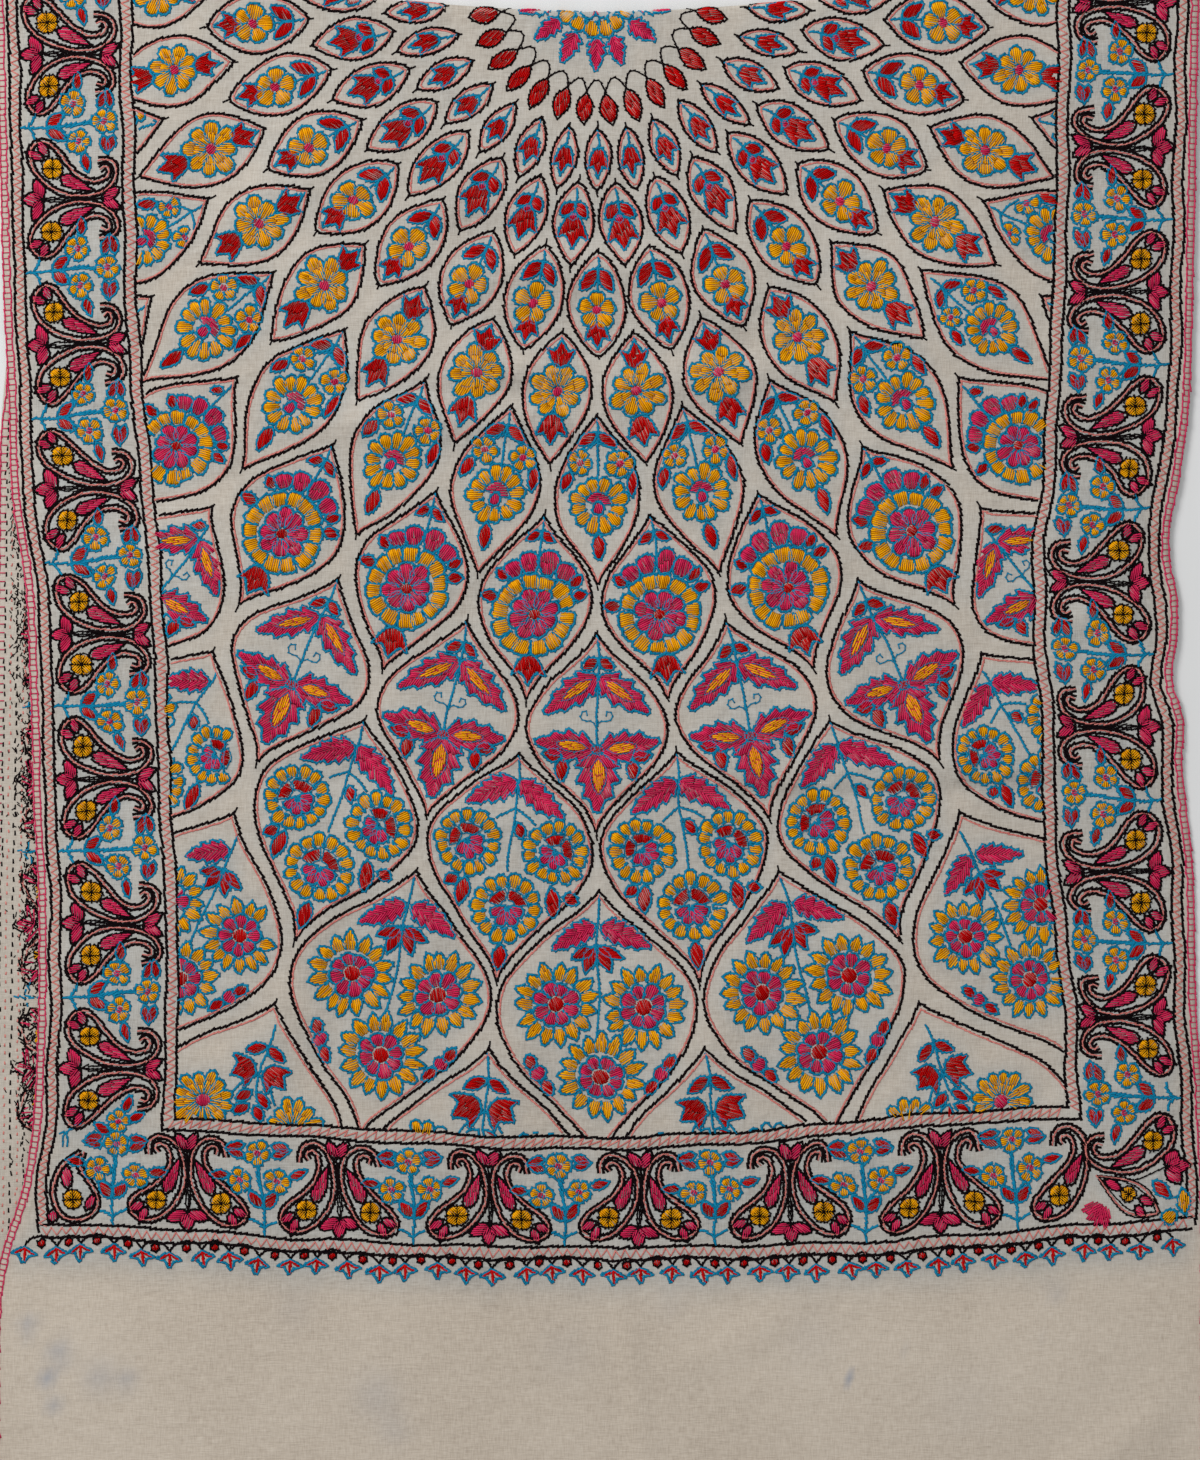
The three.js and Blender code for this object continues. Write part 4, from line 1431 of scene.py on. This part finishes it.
def dark_tangle(centre):
    """Loose dark stitches on the wrong side of a pair of paisleys."""
    down = centre + RNG.normal(0, 19, TANGLE_STITCHES)
    x = side_left(UPPER_EDGES, down) + 2 - np.abs(RNG.normal(0, 6, TANGLE_STITCHES))
    turn = RNG.uniform(-1.1, 1.1, TANGLE_STITCHES)
    length = RNG.uniform(1.6, 3.4, TANGLE_STITCHES)
    start = paired(x, down)
    end = start + length[:, None] * headings(turn)
    on_strip = x > side_left(UNDER_EDGES, down) + 1.6 * EDGING_WIDTH
    lay("under_black", start[on_strip], end[on_strip], 0.95, 0.45)


def under_strip(centre, flip=1):
    """A strip across the border along the under half's left edge."""
    def to_cloth(points):
        down = centre + points[:, 1]
        return paired(side_left(UNDER_EDGES, down) + OUTER_BAND[1] + points[:, 0], down)
    return Strip(to_cloth, math.pi / 2, -1, flip)


def draw_under_border():
    for k in range(2, 8):
        paisley_pair(under_strip, LEFT_PAIRS_FROM + k * SIDE_PITCH)
        border_sprig(under_strip, LEFT_PAIRS_FROM + (k - 0.5) * SIDE_PITCH)


def turn_over(draw):
    """Moves what draw() stitches to the wrong side of the under half, as far as it can be seen."""
    counts = {key: len(parts) for key, parts in STITCHES.items()}
    draw()
    fresh = {key: parts[counts.get(key, 0):] for key, parts in STITCHES.items()}
    for key, parts in fresh.items():
        if not parts:
            continue
        del STITCHES[key][-len(parts):]
        rows = np.vstack(parts)
        shown = rows[:, 0] < side_left(UPPER_EDGES, rows[:, 1]) + BORDER_SHOWN
        shown &= RNG.uniform(0, 1, len(rows)) < WRONG_SIDE_SHARE
        rows = rows[shown]
        rows[:, :4] += RNG.normal(0, WRONG_SIDE_JITTER, (len(rows), 4))
        rows[:, 4] *= WRONG_SIDE_WIDTH
        rows[:, 5] = WRONG_SIDE_HEIGHT
        STITCHES.setdefault("under_" + key.replace("_satin", ""), []).append(rows)


def make_wrong_side():
    down = np.linspace(205, HALF_LENGTH + UNDER_HALF_LONGER, 100)
    edge = side_left(UNDER_EDGES, down)
    x = np.linspace(edge[-1], side_right(UNDER_EDGES, down[-1]), 80)
    for line in (paired(edge, down), paired(x, down[-1])):
        edging(line, -1, "under_crimson", WRONG_SIDE_EDGING_PITCH, 1)
    for inset, yarn, start, end, pitch, length, width in WRONG_SIDE_ROWS:
        down = np.arange(start, end, pitch) + RNG.uniform(-0.8, 0.8, int(math.ceil((end - start) / pitch)))
        x = side_left(UNDER_EDGES, down) + inset + RNG.normal(0, 0.3, len(down))
        to_x = x + RNG.normal(0, 0.3, len(down))
        lay(yarn, paired(x, down), paired(to_x, down + length), width, WRONG_SIDE_HEIGHT)
    turn_over(draw_under_border)
    for k in range(3, 8):
        dark_tangle(LEFT_PAIRS_FROM + k * SIDE_PITCH)


# From rows to meshes

STITCH_SINK = 0.08
STITCH_ENDS = (0.72, 0.96)  # widths of its two ends, as shares
STITCH_RIDGE = (0.18, 0.84)  # where its top line begins and ends, as shares of the length
PAINTED_SHADE_AT = np.array([0.0, 0.0, 0.0, 0.0, 0.5, 0.5])  # painted shade and light: the four corners darker, where the yarn goes down between its neighbours into their shade, the ridge lighter
SHADE_SPREAD = 0.5
FOLD_TURN_SHOWN = 2.0  # how far round the fold the stitches go, in radians
WAVER = 0.6  # the hand-drawn pattern strays from its lines by up to about twice this
MOST_STITCHES = 24000  # in one mesh


def stitch_mesh(name, rows, place, material):
    """Each stitch is a small closed loaf: four corners in the cloth and a ridge of two points above."""
    x0, d0, x1, d1, width, height, lift = rows.T

    def at(share, above):
        return place(x0 + (x1 - x0) * share, d0 + (d1 - d0) * share, above)

    (start, up), (end, _) = at(0, lift - STITCH_SINK), at(1, lift - STITCH_SINK)
    left = np.cross(up, end - start)
    left *= (width / 2 / np.maximum(np.linalg.norm(left, axis=1), 1e-9))[:, None]
    first, last = STITCH_ENDS
    ridge = [at(share, lift + height)[0] for share in STITCH_RIDGE]
    points = [start + left * first, start - left * first, end + left * last, end - left * last] + ridge
    vertices = np.stack(points, axis=1).reshape(-1, 3)
    base = np.arange(len(rows))[:, None] * len(points)
    quads = np.vstack([base + corners for corners in ((0, 2, 3, 1), (0, 4, 5, 2), (1, 3, 5, 4))])
    triangles = np.vstack([base + corners for corners in ((0, 1, 4), (2, 5, 3))])
    piece = mesh_object(name, vertices, [quads, triangles], material)
    # each stitch's own random tone, with painted shade at its corners and painted light on its ridge
    tone = RNG.uniform(0, 1, len(rows))[:, None] * SHADE_SPREAD
    add_values(piece, "shade", (tone + PAINTED_SHADE_AT).ravel())
    return piece


def wavered(rows):
    """The rows with both ends of each stitch shifted along one smooth uneven field."""
    rows = rows.copy()
    for k in (0, 2):
        x, down = rows[:, k].copy(), rows[:, k + 1].copy()
        shift_x = np.sin(down / 9.7 + 1.4 * np.sin(x / 23)) + 0.6 * np.sin(x / 6.3 + down / 11)
        shift_down = np.sin(x / 10.9 + 1.3 * np.sin(down / 19)) + 0.6 * np.sin(down / 5.9 - x / 13)
        rows[:, k] = x + WAVER * shift_x
        rows[:, k + 1] = down + WAVER * shift_down
    return rows


def before_fold_turn(rows):
    shown = np.ones(len(rows), dtype=bool)
    for x, down in ((rows[:, 0], rows[:, 1]), (rows[:, 2], rows[:, 3])):
        shown &= (FOLD_RADIUS - along_at(down, x)) / FOLD_RADIUS < FOLD_TURN_SHOWN
    return rows[shown]


def make_yarns():
    pieces = []
    materials = {colour: yarn_material(colour) for colour in YARN_COLOURS}
    for key in sorted(STITCHES):
        rows = np.vstack(STITCHES[key])
        colour = key.replace("under_", "").replace("_satin", "")
        place = on_under
        if not key.startswith("under_"):
            rows = rows if key == "crimson" else wavered(rows)
            rows, place = before_fold_turn(rows), on_upper
        for part, begin in enumerate(range(0, len(rows), MOST_STITCHES)):
            name = "stitches_" + key + ("_%d" % (part + 1) if len(rows) > MOST_STITCHES else "")
            piece = stitch_mesh(name, rows[begin:begin + MOST_STITCHES], place, materials[colour])
            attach(piece, "root")
            pieces.append(piece)
    return pieces


# Stage, light and camera

PHOTO = {"width": 1200, "height": 1460, "mm_per_pixel": 0.575, "centre_line_x": 600, "fold_y": 12}
FLOOR_HALF = 4.0  # metres
FLOOR_GAP = 0.0002
# Name, place, size, power
LIGHTS = [("key", (-1.6, 1.8, 1.8), 1.1, 66), ("fill", (1.6, -0.9, 2.3), 2.2, 9)]


def make_stage():
    mesh = bpy.data.meshes.new("floor")
    corners = [(x * FLOOR_HALF, y * FLOOR_HALF, 0) for x, y in ((-1, -1), (1, -1), (1, 1), (-1, 1))]
    mesh.from_pydata(corners, [], [(0, 1, 2, 3)])
    floor = bpy.data.objects.new("floor", mesh)
    bpy.context.scene.collection.objects.link(floor)
    floor.location.z = -FLOOR_GAP
    material, tree, shader = new_material("pale_floor", 0.55, specular=0.3)
    grain = mapped_noise(tree, 1.0, (60, 3, 1), 3.0)
    tree.links.new(colour_ramp(tree, grain, FLOOR_COLOURS), shader.inputs["Base Color"])
    mesh.materials.append(material)


def make_light():
    world = bpy.data.worlds.new("studio")
    world.use_nodes = True
    background = world.node_tree.nodes["Background"]
    background.inputs["Color"].default_value = (0.95, 0.97, 1.0, 1)
    background.inputs["Strength"].default_value = 0.5
    bpy.context.scene.world = world
    for name, place, size, power in LIGHTS:
        data = bpy.data.lights.new(name, "AREA")
        data.size = size
        data.energy = power
        light = bpy.data.objects.new(name, data)
        light.location = place
        x, y, z = -np.array(place)
        light.rotation_euler = (math.atan2(math.hypot(x, y), -z), 0, math.atan2(y, x) - math.pi / 2)
        bpy.context.scene.collection.objects.link(light)


def make_camera():
    """Straight above the middle of the photo's frame."""
    data = bpy.data.cameras.new("photo_camera")
    data.lens = 85
    data.sensor_fit = "VERTICAL"
    data.sensor_height = 24
    camera = bpy.data.objects.new("photo_camera", data)
    scale = PHOTO["mm_per_pixel"]
    x = CENTRE_X + (PHOTO["width"] / 2 - PHOTO["centre_line_x"]) * scale
    y = FOLD_Y - (PHOTO["height"] / 2 - PHOTO["fold_y"]) * scale
    distance = PHOTO["height"] * scale * data.lens / data.sensor_height
    camera.location = (x * MM, y * MM, (distance + UPPER_REST + CLOTH_THICK) * MM)
    bpy.context.scene.collection.objects.link(camera)
    bpy.context.scene.camera = camera


bpy.context.scene.view_settings.view_transform = "Standard"
make_camera()
make_light()
make_stage()
make_medallion()
make_cells()
make_bands()
make_borders()
make_hanging_chain()
make_edging()
make_wrong_side()
cloth = make_cloth()
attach(cloth, "root")
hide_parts("upper_half", "under_half")
yarns = make_yarns()
